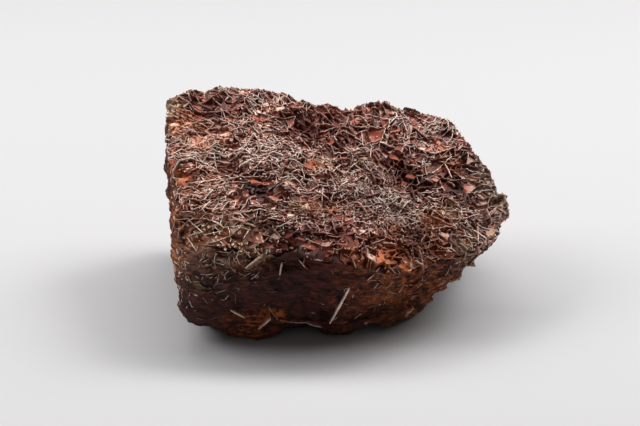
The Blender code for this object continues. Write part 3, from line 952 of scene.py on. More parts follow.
@dataclass
class Splinters:
    """Broken bits of the thin plates, grown or fallen in among them, thick on the crust and rare on fresh rock."""

    form: StoneForm
    count: int = 5200
    tries: int = 3  # how many places are tried for each splinter
    seed: int = 47
    fresh_share: float = 0.013
    half_length: tuple[float, float] = (0.0003, 0.0012)
    short_share: float = 1.6  # the power that makes most of them short
    stand: tuple[float, float] = (0.0001, 0.0006)
    root: float = 0.0010
    thickness: tuple[float, float] = (0.00007, 0.00018)
    lean: tuple[float, float] = (0, 76)
    bow: float = 0.1
    rim_end: tuple[float, float] = (0.5, 1.0)  # how far along its half length each end of a rim reaches
    ragged: float = 0.35
    tint_start: float = 0.1
    widest_mesh: float = 1.75  # how wide the cells are where no splinter would lie among them
    least_cover: float = 0.12
    needle_crust: float = 0.25  # under this share of crust the splinters are needles that lie in tufts
    needle_length: float = 3.2
    needle_height: float = 0.5
    needle_thickness: float = 0.6
    needle_tint: float = 0.40
    tuft_size: float = 0.0050
    tuft_spread: float = 0.22
    stations: int = 3
    # Thin plates broken off nearly level with the rock, so that only their edges show.
    edges: tuple[BigBlade, ...] = (
        BigBlade("scoop_edge_top", (-0.0276, -0.0419, -0.0207), (-0.0245, -0.0395, -0.0285), 0.0005, 0.00030),
        BigBlade("scoop_edge_left", (-0.0245, -0.0395, -0.0285), (-0.0206, -0.0369, -0.0330), 0.0005, 0.00034),
        BigBlade("scoop_edge_middle", (-0.0206, -0.0369, -0.0330), (-0.0134, -0.0359, -0.0373), 0.0006, 0.00034),
        BigBlade("scoop_edge_right", (-0.0134, -0.0359, -0.0373), (-0.0061, -0.0367, -0.0390), 0.0006, 0.00030),
        BigBlade("lip_edge", (0.0052, -0.0388, -0.0371), (0.0143, -0.0362, -0.0314), 0.0005, 0.00030),
    )
    edge_overlap: float = 1.05
    edge_ragged: float = 0.1
    edge_tint: float = 0.55
    # Stretches down the front where bits of blade lie thicker than on the rest of the fresh rock: each one's
    # middle, its reach and how thick they lie there.
    strewn: tuple[tuple[Triple, float, float], ...] = (
        ((-0.0600, -0.0430, 0.0040), 0.015, 0.98),
        ((-0.0420, -0.0460, 0.0080), 0.012, 0.85),
        ((-0.0720, -0.0250, 0.0000), 0.014, 0.18),
        ((0.0260, -0.0400, -0.0100), 0.018, 0.16),
        ((-0.0500, -0.0420, -0.0280), 0.014, 0.08),
        ((0.0560, -0.0220, -0.0060), 0.009, 0.55),
    )

    def add_edges(self, rows: BladeRows) -> None:
        """Turns the last splinters of a set into the thin broken edges.

        Args:
            rows: the splinters.
        """
        for i, edge in enumerate(self.edges, len(rows.middle) - len(self.edges)):
            ends, normals, _ = self.form.weathered_points(unit(np.array([edge.start, edge.end])))
            run = ends[1] - ends[0]
            half = float(np.linalg.norm(run)) / 2
            out = normals.mean(axis=0) - run * (normals.mean(axis=0) @ run) / (run @ run)
            rows.middle[i], rows.along[i], rows.out[i] = ends.mean(axis=0), run / (2 * half), out / np.linalg.norm(out)
            rows.half_length[i], rows.stand[i], rows.thickness[i] = half * self.edge_overlap, edge.stand, edge.thickness
            rows.top_start[i], rows.top_end[i] = -1.0, 1.0
            rows.ragged[i], rows.tint[i] = self.edge_ragged, self.edge_tint

    def build(self) -> bpy.types.Object:
        """Builds the splinters as one piece.

        Returns:
            The dressed piece.
        """
        draw = np.random.default_rng(self.seed)
        directions = unit(draw.normal(0, 1, (self.count * self.tries, 3)) * np.array(self.form.spread))
        places, normals, crust = self.form.weathered_points(directions)
        cover = np.maximum(crust, self.fresh_share + bumps_at(places, list(self.strewn)))
        among = np.clip(self.widest_mesh - mesh_width(places), self.least_cover, 1.0)
        cover *= np.where(crust > self.needle_crust, among, 1.0)
        kept = np.flatnonzero(draw.uniform(0, 1, len(places)) < cover)[: self.count]
        places, normals, crust = places[kept], normals[kept], crust[kept]
        count = len(places)
        fresh = crust < self.needle_crust
        lower = np.where(fresh, self.needle_height, 1.0)
        noise.seed_set(self.seed)  # otherwise the noise that combs the tufts is another one in each run
        combed = np.array([noise.noise_vector(row)[:] for row in (places / self.tuft_size).tolist()])
        loose = draw.normal(0, 1, (count, 3)) * np.where(fresh, self.tuft_spread, 1.0)[:, None]
        along = unit(np.cross(combed + loose, normals))
        across = np.cross(normals, along)
        lean = np.radians(draw.uniform(*self.lean, count) * lower)[:, None]
        size = draw.uniform(0, 1, count) ** self.short_share
        shortest, longest = self.half_length
        rows = BladeRows(
            middle=places,
            along=along,
            out=unit(normals * np.cos(lean) + across * np.sin(lean)),
            half_length=(shortest + (longest - shortest) * size) * np.where(fresh, self.needle_length, 1.0),
            stand=draw.uniform(*self.stand, count) * lower,
            root=np.full(count, self.root),
            thickness=draw.uniform(*self.thickness, count) * np.where(fresh, self.needle_thickness, 1.0),
            bow=draw.uniform(-self.bow, self.bow, count),
            top_start=draw.uniform(-self.rim_end[1], -self.rim_end[0], count),
            top_end=draw.uniform(*self.rim_end, count),
            ragged=np.full(count, self.ragged),
            tint=draw.uniform(np.where(fresh, self.needle_tint, self.tint_start), 1.0, count),
            crust=crust,
        )
        self.add_edges(rows)
        return dress(rows.piece("splinters", self.form, self.stations, draw), TabularBarite())


@dataclass(frozen=True)
class Wall:
    """A straight plate between two directions from the heart, in the pattern's own space. level counts the
    splits that made it: 0 is the edge of a first cell."""

    start: Vector
    end: Vector
    level: int


@dataclass
class CellPattern:
    """How the plates cross: first cells round scattered seeds, each split again and again by straight plates.

    It is laid out on a ball. Straight lines on the ball are plates whose planes pass through the heart."""

    form: StoneForm
    seeds: int = 1150
    apart: float = 0.76  # how near two seeds may be, against an even spread of them
    tries: int = 60  # how many places are tried for each seed
    neighbours: int = 25  # how many of the other seeds can bound a first cell
    reach: float = 0.35  # half of the square that a first cell is cut from
    seed: int = 5
    width: float = 0.0027
    width_spread: float = 0.38
    fresh_width: float = 1.5
    crust_start: float = 0.02
    slivers: float = 0.22
    swing: float = 19
    off_middle: float = 0.4
    most_levels: int = 9
    same_edge: float = 2e3  # edges whose ends agree to one part in this are one wall
    cells: list[list[Vector]] = field(default_factory=list)
    walls: list[Wall] = field(default_factory=list)

    def places_of(self, spots: list[Vector]) -> tuple[np.ndarray, np.ndarray, np.ndarray]:
        """The surface points, the normals and the shares of crust under directions of the pattern."""
        return self.form.weathered_points(unit(np.array(spots) * np.array(self.form.spread)))

    def scatter(self, draw: random.Random) -> list[Vector]:
        """Seeds over the ball, none too near another.

        Args:
            draw: the source of the random choices.

        Returns:
            The directions of the seeds.
        """
        nearest = math.cos(self.apart * math.sqrt(4 * math.pi / self.seeds))
        found: list[Vector] = []
        spots = np.zeros((self.seeds, 3))
        tries = 0
        while len(found) < self.seeds and tries < self.tries * self.seeds:
            tries += 1
            spot = Vector((draw.gauss(0, 1), draw.gauss(0, 1), draw.gauss(0, 1))).normalized()
            if found and np.max(spots[: len(found)] @ np.array(spot)) > nearest:
                continue
            spots[len(found)] = spot
            found.append(spot)
        return found

    @staticmethod
    def cut(polygon: list[Vector], side: Vector) -> tuple[list[Vector], list[Vector], list[Vector]]:
        """Cuts a convex polygon of directions by a plane through the middle of the ball.

        Args:
            polygon: the corners in order.
            side: the plane's normal.

        Returns:
            The part on the normal's side, the part on the other side, and the two ends of the cut.
        """
        front: list[Vector] = []
        back: list[Vector] = []
        ends: list[Vector] = []
        for i, here in enumerate(polygon):
            after = polygon[(i + 1) % len(polygon)]
            a, b = here.dot(side), after.dot(side)
            (front if a >= 0 else back).append(here)
            if (a >= 0) != (b >= 0):
                cross = here.lerp(after, a / (a - b)).normalized()
                front.append(cross)
                back.append(cross)
                ends.append(cross)
        return front, back, ends

    def first_cells(self, spots: list[Vector]) -> list[list[Vector]]:
        """The part of the ball that is nearest to each seed.

        Args:
            spots: the directions of the seeds.

        Returns:
            The corners of one polygon a seed.
        """
        table = np.array(spots)
        cells = []
        for spot in spots:
            side = spot.orthogonal().normalized()
            front = spot.cross(side)
            square = [(a * self.reach, b * self.reach) for a, b in ((1, 1), (-1, 1), (-1, -1), (1, -1))]
            polygon = [(spot + side * a + front * b).normalized() for a, b in square]
            order = np.argsort(-(table @ np.array(spot)))[1 : self.neighbours + 1]
            for i in order:
                kept, _, _ = self.cut(polygon, spot - spots[int(i)])
                polygon = kept if len(kept) > 2 else polygon
            cells.append(polygon)
        return cells

    def split(self, polygon: list[Vector], level: int, draw: random.Random) -> None:
        """Splits a cell by plates until it is as small as its place asks for, and keeps what comes of it.

        Args:
            polygon: the cell's corners, in order.
            level: how many splits have made it.
            draw: the source of the random choices.
        """
        middle = sum(polygon, Vector()).normalized()
        corners, _, shares = self.places_of(polygon)
        centre = corners.mean(axis=0)
        after = np.roll(corners, -1, axis=0)
        area = np.linalg.norm(np.cross(corners - centre, after - centre), axis=1).sum() / 2
        wanted = self.width * mesh_width(centre[None])[0] * math.exp(draw.gauss(0, self.width_spread))
        wanted *= self.fresh_width ** (1.0 - shares.mean())
        if area < wanted * wanted or level >= self.most_levels:
            self.cells.append(polygon)
            return
        longest = int(np.argmax(np.linalg.norm(corners - np.roll(corners, 1, axis=0), axis=1)))
        across = (polygon[longest] - polygon[longest - 1]).normalized()
        swing = draw.uniform(0, 180) if draw.random() < self.slivers else draw.gauss(0, self.swing)
        across.rotate(Matrix.Rotation(math.radians(swing), 3, middle))
        a, b = draw.choice(polygon), draw.choice(polygon)
        through = middle.lerp(a.lerp(b, 0.5), draw.uniform(0.0, self.off_middle)).normalized()
        side = (across - through * across.dot(through)).normalized()
        front, back, ends = self.cut(polygon, side)
        if len(ends) != 2 or len(front) < 3 or len(back) < 3:
            self.cells.append(polygon)
            return
        self.walls.append(Wall(ends[0], ends[1], level + 1))
        self.split(front, level + 1, draw)
        self.split(back, level + 1, draw)

    def lay_out(self) -> None:
        """Makes every cell and every wall of the crust."""
        draw = random.Random(self.seed)
        kept: dict[tuple[int, ...], Wall] = {}
        for polygon in self.first_cells(self.scatter(draw)):
            if self.places_of(polygon)[2].max() < self.crust_start:
                continue
            for i, corner in enumerate(polygon):
                key = tuple(round(value * self.same_edge) for value in (corner + polygon[i - 1]))
                kept[key] = Wall(polygon[i - 1], corner, 0)
            self.split(polygon, 0, draw)
        self.walls.extend(kept.values())


@dataclass
class CellFloors:
    """The flat faces between the walls: each cell's floor is one plane, tilted its own way, on a solid foot."""

    pattern: CellPattern
    seed: int = 31
    depth: tuple[float, float] = (-0.00005, 0.00045)  # how far a floor's highest corner lies under the surface
    pit_depth: tuple[float, float] = (0.0010, 0.0022)
    pits: float = 0.14
    pits_dark: float = 1.5  # how many more cells are pits where the crust is dark
    tilt: float = 23
    foot: float = 0.0045
    deepest: float = 0.75  # how far down its foot a floor's lowest corner may lie
    least_crust: float = 0.06

    def build(self) -> bpy.types.Object:
        """Builds every floor as one piece.

        Returns:
            The dressed piece.
        """
        draw = random.Random(self.seed)
        points: list[np.ndarray] = []
        faces: list[tuple[int, ...]] = []
        values: dict[str, list[float]] = {"edge": [], "tint": [], "crust": [], "iron_and_shade": []}
        for polygon in self.pattern.cells:
            corners, normals, shares = self.pattern.places_of(polygon)
            crust = float(shares.mean())
            if crust < self.least_crust:
                continue
            centre, normal = corners.mean(axis=0), Vector(normals.mean(axis=0)).normalized()
            iron_and_shade = float(zone_sum(centre[None], "iron_and_shade")[0])
            pit = draw.random() < self.pits * (1.0 + self.pits_dark * max(0.0, iron_and_shade)) * crust
            depth = draw.uniform(*(self.pit_depth if pit else self.depth))
            facing = normal.copy()
            facing.rotate(Matrix.Rotation(math.radians(draw.gauss(0, self.tilt)), 3, normal.orthogonal()))
            facing.rotate(Matrix.Rotation(draw.uniform(0, math.tau), 3, normal))
            up, tilted = np.array(normal), np.array(facing)
            rises = (centre - corners) @ tilted / normal.dot(facing)
            top = corners + up * np.maximum(rises - rises.max() - depth, -self.foot * self.deepest)[:, None]
            first, count = len(points), len(corners)
            points += [top.mean(axis=0), *top, *(corners - up * self.foot)]
            tint = draw.random()
            for name, value in (("tint", tint), ("crust", crust), ("iron_and_shade", iron_and_shade)):
                values[name] += [value] * (2 * count + 1)
            values["edge"] += [0.0] + [1.0] * (2 * count)
            for i in range(count):
                here, after = first + 1 + i, first + 1 + (i + 1) % count
                faces.append((first, here, after))
                faces.append((here, here + count, after + count, after))
            faces.append(tuple(first + count + 1 + i for i in reversed(range(count))))
        flat = np.array(points)
        shares = stain_shares(flat) | {name: np.array(value) for name, value in values.items()}
        return dress(mesh_object("boxwork_cells", self.pattern.form.in_frame(flat), faces, shares), FilmedFace())


@dataclass
class Walls:
    """The thin plates themselves, standing a little over the floors, with pale ragged rims."""

    pattern: CellPattern
    seed: int = 23
    station_gap: float = 0.00080
    most_stations: int = 14
    overlap: float = 0.02  # how far a wall runs past its ends, as a share of its length
    lift: float = 0.00010
    foot: float = 0.0034
    height: tuple[float, float] = (-0.00025, 0.00025)
    ragged: float = 0.00018
    thickness: tuple[float, float] = (0.00008, 0.00025)
    widths: tuple[float, float] = (0.7, 1.3)  # how much a wall's thickness varies along it
    first_level: int = 3  # walls of the levels before this one grew first
    first_thickness: float = 1.15
    first_height: float = 0.0003
    later_thickness: float = 0.9
    bow: float = 0.045
    waver: float = 0.00022
    wave_length: float = 0.004
    waves: tuple[float, float] = (0.5, 1.2)
    sway: float = 0.35  # how far a rim strays from its line, as a share of the thickness
    lean: float = 9
    lean_start: float = 0.001  # how deep under the surface a leaning wall starts to lean
    kept: float = 0.82
    fresh_share: float = 0.15
    most_bare: float = 0.9
    least_crust: float = 0.02
    buried: float = 0.0005
    borders: tuple[float, ...] = (-0.036, 0.010)
    names: tuple[str, ...] = ("boxwork_left", "boxwork_middle", "boxwork_right")

    SECTION = plate_section(0.32)
    SHOULDER = 0.00020  # how far under the rim a wall's faces start

    def sections(self, wall: Wall, ends: np.ndarray, draw: np.random.Generator) -> tuple[np.ndarray, np.ndarray]:
        """The cross-sections of a wall.

        Args:
            wall: the wall.
            ends: the surface points of its ends.
            draw: the source of every random choice.

        Returns:
            The points, section by section, and their shares of rim.
        """
        early = wall.level < self.first_level
        length = float(np.linalg.norm(ends[1] - ends[0]))
        count = int(np.clip(round(length / self.station_gap), 2, self.most_stations)) + 1
        bow = draw.normal(0, self.bow) * length
        thick = draw.uniform(*self.thickness) * (self.first_thickness if early else self.later_thickness)
        height = draw.uniform(*self.height) + (self.first_height if early else 0.0)
        lean = math.tan(math.radians(draw.normal(0, self.lean)))
        phase, waves = draw.uniform(0, math.tau), draw.uniform(*self.waves) * length / self.wave_length
        steps = np.linspace(-self.overlap, 1.0 + self.overlap, count)
        places, normals, crusts = self.pattern.places_of([wall.start.lerp(wall.end, step) for step in steps])
        across = unit(np.cross(ends[1] - ends[0], normals))
        top = self.lift + height + draw.normal(0, self.ragged, count) - self.buried * (1.0 - crusts)
        top += self.waver * np.sin(phase + math.tau * waves * steps)
        sway = bow * (1 - (2 * steps - 1) ** 2) + draw.normal(0, self.sway, count) * thick
        wide = thick * draw.uniform(*self.widths, count)
        rows, rims = np.zeros((count, len(self.SECTION), 3)), np.zeros((count, len(self.SECTION)))
        for i, (side, reach, rim) in enumerate(self.SECTION):
            rise = top - (self.SHOULDER if rim < 1.0 else 0.0) if reach else np.full(count, -self.foot)
            shift = sway + side * wide + lean * np.maximum(0.0, rise + self.lean_start)
            rows[:, i] = places + normals * rise[:, None] + across * shift[:, None]
            rims[:, i] = rim
        return rows.reshape(-1, 3), rims.reshape(-1)

    def build(self) -> list[bpy.types.Object]:
        """Builds the walls.

        Returns:
            The dressed pieces, from left to right.
        """
        draw = np.random.default_rng(self.seed)
        around = len(self.SECTION)
        batches: list[dict[str, list[Any]]] = [{"points": [], "rim": [], "faces": [], "each": []} for _ in self.names]
        totals = [0] * len(self.names)
        for wall in self.pattern.walls:
            ends, _, shares = self.pattern.places_of([wall.start, wall.end, wall.start + wall.end])
            middle, crust = ends[2:], shares.mean()
            chance = self.kept * (self.fresh_share + (1.0 - self.fresh_share) * crust)
            chance *= 1.0 - min(self.most_bare, zone_sum(middle, "bare")[0])
            if crust < self.least_crust or draw.random() > chance:
                continue
            rows, rims = self.sections(wall, ends[:2], draw)
            which = int(np.searchsorted(self.borders, middle[0, 0]))
            batch = batches[which]
            batch["faces"] += tube_faces(totals[which], len(rows) // around, around)
            batch["points"].append(rows)
            batch["rim"].append(rims)
            batch["each"].append((len(rows), draw.random(), crust, zone_sum(middle, "iron_and_shade")[0]))
            totals[which] += len(rows)
        return [self.piece(name, batch) for name, batch in zip(self.names, batches)]

    def piece(self, name: str, batch: dict[str, list[Any]]) -> bpy.types.Object:
        """Makes one piece of the walls.

        Args:
            name: the piece's name.
            batch: the points and shares of rim of each wall in it, its faces, and for each wall how many points
                it has, its tint, its crust and how dark its place is.

        Returns:
            The dressed piece.
        """
        flat = np.concatenate(batch["points"])
        shares = stain_shares(flat) | {"rim": np.concatenate(batch["rim"])}
        each = np.array(batch["each"])
        for column, value in enumerate(("tint", "crust", "iron_and_shade"), 1):
            shares[value] = np.repeat(each[:, column], each[:, 0].astype(int))
        return dress(mesh_object(name, self.pattern.form.in_frame(flat), batch["faces"], shares), TabularBarite())


@dataclass(frozen=True)
class Grain:
    """Noise in lumps of a real size, given as their width, depth and height."""

    name: str
    size_mm: Triple
    detail: float


@dataclass(frozen=True)
class Blend:
    """Named values added up by their weights, over a start."""

    name: str
    start: float
    weights: dict[str, float]


@dataclass(frozen=True)
class Shades:
    """Colours that follow a named value, each given after its place along it."""

    value: str
    stops: tuple[tuple[float, str], ...]


@dataclass(frozen=True)
class Layer:
    """A colour laid over those before it, at its full strength where every mask is whole.

    Each mask is a named value with the two numbers between which it grows from none to whole, or with None
    where the value itself is the share."""

    colour: str | Shades
    strength: float
    masks: dict[str, tuple[float, float] | None]


Sockets = dict[str, bpy.types.NodeSocket]


@dataclass(frozen=True)
class StoneFinish:
    """What the stone's finishes have in common: the colours of its minerals, and how colour is laid on it.

    The noises are in millimetres of real stone. Iron oxide grit is about 0.1 mm, too fine to show, so it is
    drawn at 0.45 mm."""

    name: str
    limonite: str = "#c8702c"
    olive: str = "#9d8f58"
    grey: str = "#8f8478"
    cream: str = "#cdbb9a"
    ochre: str = "#b47e68"
    brick: str = "#7e2e1c"
    grains: tuple[Grain, ...] = (
        Grain("blotch", (7.0, 7.0, 7.0), 3.0),
        Grain("mottle", (1.4, 1.4, 1.4), 4.0),
        Grain("grit", (0.45, 0.45, 0.45), 3.0),
    )
    grain_roughness: float = 0.6
    relief: str = "grit"  # the value that the surface rises and falls with
    relief_strength: float = 0.4
    relief_mm: float = 0.2
    specular: float = 0.5
    roughness: tuple[float, float] = (0.40, 0.80)  # where the mottle is at its lowest and at its highest

    def blends(self) -> list[Blend]:
        """The values that are made from noises and from what the mesh holds."""
        raise NotImplementedError

    def ground(self) -> Shades:
        """The colours under every layer."""
        raise NotImplementedError

    def layers(self) -> list[Layer]:
        """The colours over the ground, from the lowest up."""
        raise NotImplementedError

    def mineral_layers(self, strength: float, masks: dict[str, tuple[float, float] | None]) -> list[Layer]:
        """A layer of each mineral where the mesh says that it is.

        Args:
            strength: how strong each layer is.
            masks: what breaks each layer up.

        Returns:
            The layers, in the minerals' own order.
        """
        return [Layer(getattr(self, each.value), strength, {each.value: None} | masks) for each in Mineral]

    def value(self, tree: bpy.types.NodeTree, values: Sockets, name: str) -> bpy.types.NodeSocket:
        """A named value: a noise, a blend or else what the mesh holds under that name.

        Args:
            tree: the material's nodes.
            values: the values made so far, which the mesh's are added to.
            name: the value's name.

        Returns:
            Its socket.
        """
        if name not in values:
            values[name] = add_node(tree, "ShaderNodeAttribute", {"attribute_name": name}, {}).outputs["Fac"]
        return values[name]

    def shaded(self, tree: bpy.types.NodeTree, values: Sockets, shades: Shades) -> bpy.types.NodeSocket:
        """Colours run along a value.

        Args:
            tree: the material's nodes.
            values: the values made so far.
            shades: the colours.

        Returns:
            The colour's socket.
        """
        node = add_node(tree, "ShaderNodeValToRGB", {}, {"Fac": self.value(tree, values, shades.value)})
        stretch = node.color_ramp
        for i, (place, colour) in enumerate(shades.stops):
            stop = stretch.elements[i] if i < 2 else stretch.elements.new(place)
            stop.position = place
            stop.color = linear(colour)
        return node.outputs["Color"]

    def laid(self, tree: bpy.types.NodeTree, values: Sockets, base: Any, layer: Layer) -> bpy.types.NodeSocket:
        """Lays a layer over the colour so far.

        Args:
            tree: the material's nodes.
            values: the values made so far.
            base: the socket of the colour so far.
            layer: the layer.

        Returns:
            The new colour's socket.
        """
        amount: Sockets = {}
        for name, span in layer.masks.items():
            share = self.value(tree, values, name)
            if span:
                settings = {"interpolation_type": "SMOOTHSTEP", "From Min": span[0], "From Max": span[1]}
                share = add_node(tree, "ShaderNodeMapRange", settings, {"Value": share}).outputs["Result"]
            settings = {"operation": "MULTIPLY", "1": layer.strength}
            amount = {"1": add_node(tree, "ShaderNodeMath", settings, {"0": share} | amount).outputs[0]}
        links = {"0": amount["1"], "6": base}
        if isinstance(layer.colour, Shades):
            links["7"] = self.shaded(tree, values, layer.colour)
            return add_node(tree, "ShaderNodeMix", {"data_type": "RGBA"}, links).outputs[2]
        return add_node(tree, "ShaderNodeMix", {"data_type": "RGBA", "7": linear(layer.colour)}, links).outputs[2]

    def build(self) -> bpy.types.Material:
        """Builds the material, or finds it where it is already built.

        Returns:
            The material.
        """
        if self.name in bpy.data.materials:
            return bpy.data.materials[self.name]
        material = bpy.data.materials.new(self.name)
        material.use_nodes = True
        tree = material.node_tree
        shader = tree.nodes["Principled BSDF"]
        place = add_node(tree, "ShaderNodeTexCoord", {}, {}).outputs["Object"]
        values: Sockets = {}
        for grain in self.grains:
            closer = {"Scale": tuple(1.0 / (size * MM) for size in grain.size_mm)}
            mapped = add_node(tree, "ShaderNodeMapping", closer, {"Vector": place}).outputs["Vector"]
            settings = {"Scale": 1.0, "Detail": grain.detail, "Roughness": self.grain_roughness}
            values[grain.name] = add_node(tree, "ShaderNodeTexNoise", settings, {"Vector": mapped}).outputs["Fac"]
        for blend in self.blends():
            total: Sockets = {}
            for name, weight in blend.weights.items():
                settings = {"operation": "MULTIPLY_ADD", "1": weight, "2": blend.start}
                links = {"0": self.value(tree, values, name)} | total
                total = {"2": add_node(tree, "ShaderNodeMath", settings, links).outputs[0]}
            values[blend.name] = total["2"]
        base = self.shaded(tree, values, self.ground())
        for layer in self.layers():
            base = self.laid(tree, values, base, layer)
        tree.links.new(base, shader.inputs["Base Color"])
        settings = {"Strength": self.relief_strength, "Distance": self.relief_mm * MM}
        bump = add_node(tree, "ShaderNodeBump", settings, {"Height": values[self.relief]})
        tree.links.new(bump.outputs["Normal"], shader.inputs["Normal"])
        settings = {"To Min": self.roughness[0], "To Max": self.roughness[1]}
        rough = add_node(tree, "ShaderNodeMapRange", settings, {"Value": values["mottle"]})
        tree.links.new(rough.outputs["Result"], shader.inputs["Roughness"])
        shader.inputs["Specular IOR Level"].default_value = self.specular
        return material


@dataclass(frozen=True)
class OxideCoatedRock(StoneFinish):
    """Quartz and barite rock under iron oxides, broken by hand and weathered."""

    # Matt and gritty, so it takes no clear light: blotched from near-black maroon to rust in level streaks, and
    # paler where barite dust shows through on the crust.
    name: str = "hematite_coated_rock_broken"
    darkest: str = "#1a0a0b"
    maroon: str = "#3f1813"
    hematite: str = "#7a3220"
    rust: str = "#a84c1c"
    dust: str = "#7d5548"
    grains: tuple[Grain, ...] = (
        Grain("blotch", (7.0, 7.0, 7.0), 4.0),
        Grain("vein", (3.2, 3.2, 3.2), 5.0),
        Grain("mottle", (1.4, 1.4, 1.4), 5.0),
        Grain("grit", (0.45, 0.45, 0.45), 3.0),
        Grain("streak", (5.0, 4.0, 0.6), 4.0),
    )
    relief: str = "rubble"
    relief_strength: float = 0.7
    relief_mm: float = 0.8
    specular: float = 0.32
    roughness: tuple[float, float] = (0.55, 0.95)

    def blends(self) -> list[Blend]:
        """The streaked grain of the rock, its streaked veins and its relief.

        Returns:
            The three values, each from noises alone.
        """
        return [
            Blend("fine", 0.0, {"mottle": 0.275, "grit": 0.225, "streak": 0.5}),
            Blend("veined", 0.0, {"vein": 0.5, "streak": 0.5}),
            Blend("rubble", 0.0, {"mottle": 1.0, "grit": 1.0}),
        ]

    def ground(self) -> Shades:
        """Near-black maroon to hematite red, with the grain."""
        return Shades("fine", ((0.36, self.darkest), (0.50, self.maroon), (0.66, self.hematite)))

    def layers(self) -> list[Layer]:
        """The colours over the grain.

        Returns:
            Red and rusty veins, pale dust on the crust, the minerals, and shade in the hollows.
        """
        minerals = self.mineral_layers(0.8, {"fine": (0.38, 0.56)})
        spots = {"limonite": None, "veined": (0.47, 0.58), "fine": (0.38, 0.62)}
        minerals[list(Mineral).index(Mineral.LIMONITE)] = Layer(self.limonite, 0.8, spots)
        return [
            Layer(self.hematite, 0.6, {"blotch": (0.48, 0.66), "veined": (0.47, 0.58)}),
            Layer(self.dust, 0.6, {"crust": (0.1, 0.5), "grit": (0.42, 0.70)}),
            Layer(self.rust, 0.75, {"limonite": None, "veined": (0.45, 0.56)}),
            *minerals,
            # Painted shade, darkest where the rock lies deepest in its hollows.
            Layer(self.darkest, 0.75, {"hollow": (0.35, 1.0), "cream": (1.0, 0.0)}),
        ]


@dataclass(frozen=True)
class FilmedFace(StoneFinish):
    """Flat barite faces under a film of iron oxide that dried in the cells."""

    # Satin, so a few floors catch the light: each cell has its own shade, from maroon through brick red and
    # orange to pink, with pale dust in its corners.
    name: str = "barite_faces_oxide_filmed"
    shades: tuple[tuple[float, str], ...] = (
        (0.00, "#2a0f12"),
        (0.22, "#52201e"),
        (0.42, "#7a2c21"),
        (0.57, "#a03e20"),
        (0.67, "#bd6234"),
        (0.74, "#b47a6a"),
        (0.86, "#d2ac9c"),
        (1.00, "#ead4bc"),
    )
    fresh_shades: tuple[tuple[float, str], ...] = (
        (0.00, "#1a0c0c"),
        (0.40, "#361816"),
        (0.65, "#55281f"),
        (0.85, "#7c4428"),
        (1.00, "#a46e44"),
    )
    dust: str = "#c69a8e"
    deepest: str = "#2a0f0e"
    relief_strength: float = 0.35
    relief_mm: float = 0.3
    specular: float = 0.20

    def blends(self) -> list[Blend]:
        """The values that set the film's colour.

        Returns:
            Each cell's own shade, and how near its walls a place is.
        """
        return [
            # The zones' darkening, partly painted shade, pulls each cell's shade down.
            Blend("shade", -0.80, {"tint": 1.0, "mottle": 0.5, "blotch": 1.1, "iron_and_shade": -0.26}),
            Blend("border", -0.75, {"edge": 0.5, "grit": 2.4}),
        ]

    def ground(self) -> Shades:
        """The film on the fresh faces."""
        return Shades("shade", self.fresh_shades)

    def layers(self) -> list[Layer]:
        """The colours over the fresh faces' film.

        Returns:
            The film on the crust, dust along the walls, the minerals, and the darkening that is partly the deeper iron
            and partly painted shade.
        """
        return [
            Layer(Shades("shade", self.shades), 1.0, {"crust": (0.05, 0.75)}),
            Layer(self.dust, 0.60, {"border": (0.55, 1.10), "iron_and_shade": (1.0, 0.0), "crust": (0.2, 0.9)}),
            *self.mineral_layers(0.8, {"mottle": (0.35, 0.58)}),
            # Painted shade as well as the iron's darker colour, where the zones darken the crust.
            Layer(self.deepest, 0.50, {"iron_and_shade": (0.1, 1.4)}),
        ]


@dataclass(frozen=True)
class TabularBarite(StoneFinish):
    """Barite in thin plates, grown in cracks, under a film of iron oxide that their weathered edges have lost."""

    # The edges are pale and pearly against dark red faces, so the network reads as fine light lines.
    name: str = "tabular_barite_oxide_filmed"
    rims: tuple[tuple[float, str], ...] = (
        (0.00, "#4a2018"),
        (0.28, "#88503e"),
        (0.48, "#c29484"),
        (0.68, "#eacec0"),
        (1.00, "#fdf0e4"),
    )
    ochre: str = "#f4d3a0"
    face_dark: str = "#2a1110"
    face_red: str = "#662c1f"
    face_pink: str = "#98654f"

    def blends(self) -> list[Blend]:
        """The values that set a plate's colour.

        Returns:
            Each plate's own shade, and its bare rim with a broken border.
        """
        return [
            # The zones' darkening, partly painted shade, pulls each plate's shade down.
            Blend("shade", -1.12, {"tint": 1.0, "mottle": 1.1, "blotch": 1.3, "iron_and_shade": -0.35}),
            Blend("bare_rim", -0.25, {"rim": 1.0, "grit": 0.5}),
        ]

    def ground(self) -> Shades:
        """The filmed faces."""
        return Shades("mottle", ((0.34, self.face_dark), (0.55, self.face_red), (0.78, self.face_pink)))

    def layers(self) -> list[Layer]:
        """The colours over the filmed faces.

        Returns:
            The bare rims, the minerals, and the darkening that is partly the deeper iron and partly painted shade.
        """
        return [
            Layer(Shades("shade", self.rims), 1.0, {"bare_rim": (0.55, 0.85)}),
            *self.mineral_layers(0.6, {"mottle": (0.35, 0.58)}),
            # Painted shade as well as the iron's darker colour, where the zones darken the plates.
            Layer(self.face_dark, 0.50, {"iron_and_shade": (0.2, 1.6)}),
        ]


@dataclass(frozen=True)
class MattPaper:
    """Photographer's background paper, rolled and pulled flat."""

    # Quite matt, so that it mirrors nothing and the stone's shadow stays soft on it.
    name: str = "matt_paper_rolled"
    colour: str = "#b1b0b1"
    roughness: float = 0.9

    def build(self) -> bpy.types.Material:
        """Builds the material.

        Returns:
            The material.
        """
        material = bpy.data.materials.new(self.name)
        material.use_nodes = True
        shader = material.node_tree.nodes["Principled BSDF"]
        shader.inputs["Base Color"].default_value = linear(self.colour)
        shader.inputs["Roughness"].default_value = self.roughness
        return material


@dataclass(frozen=True)
class Lamp:
    """A soft box that faces the stone: where it hangs, how wide and deep it is, and its watts."""

    name: str
    place: Triple
    size: tuple[float, float]
    watts: float


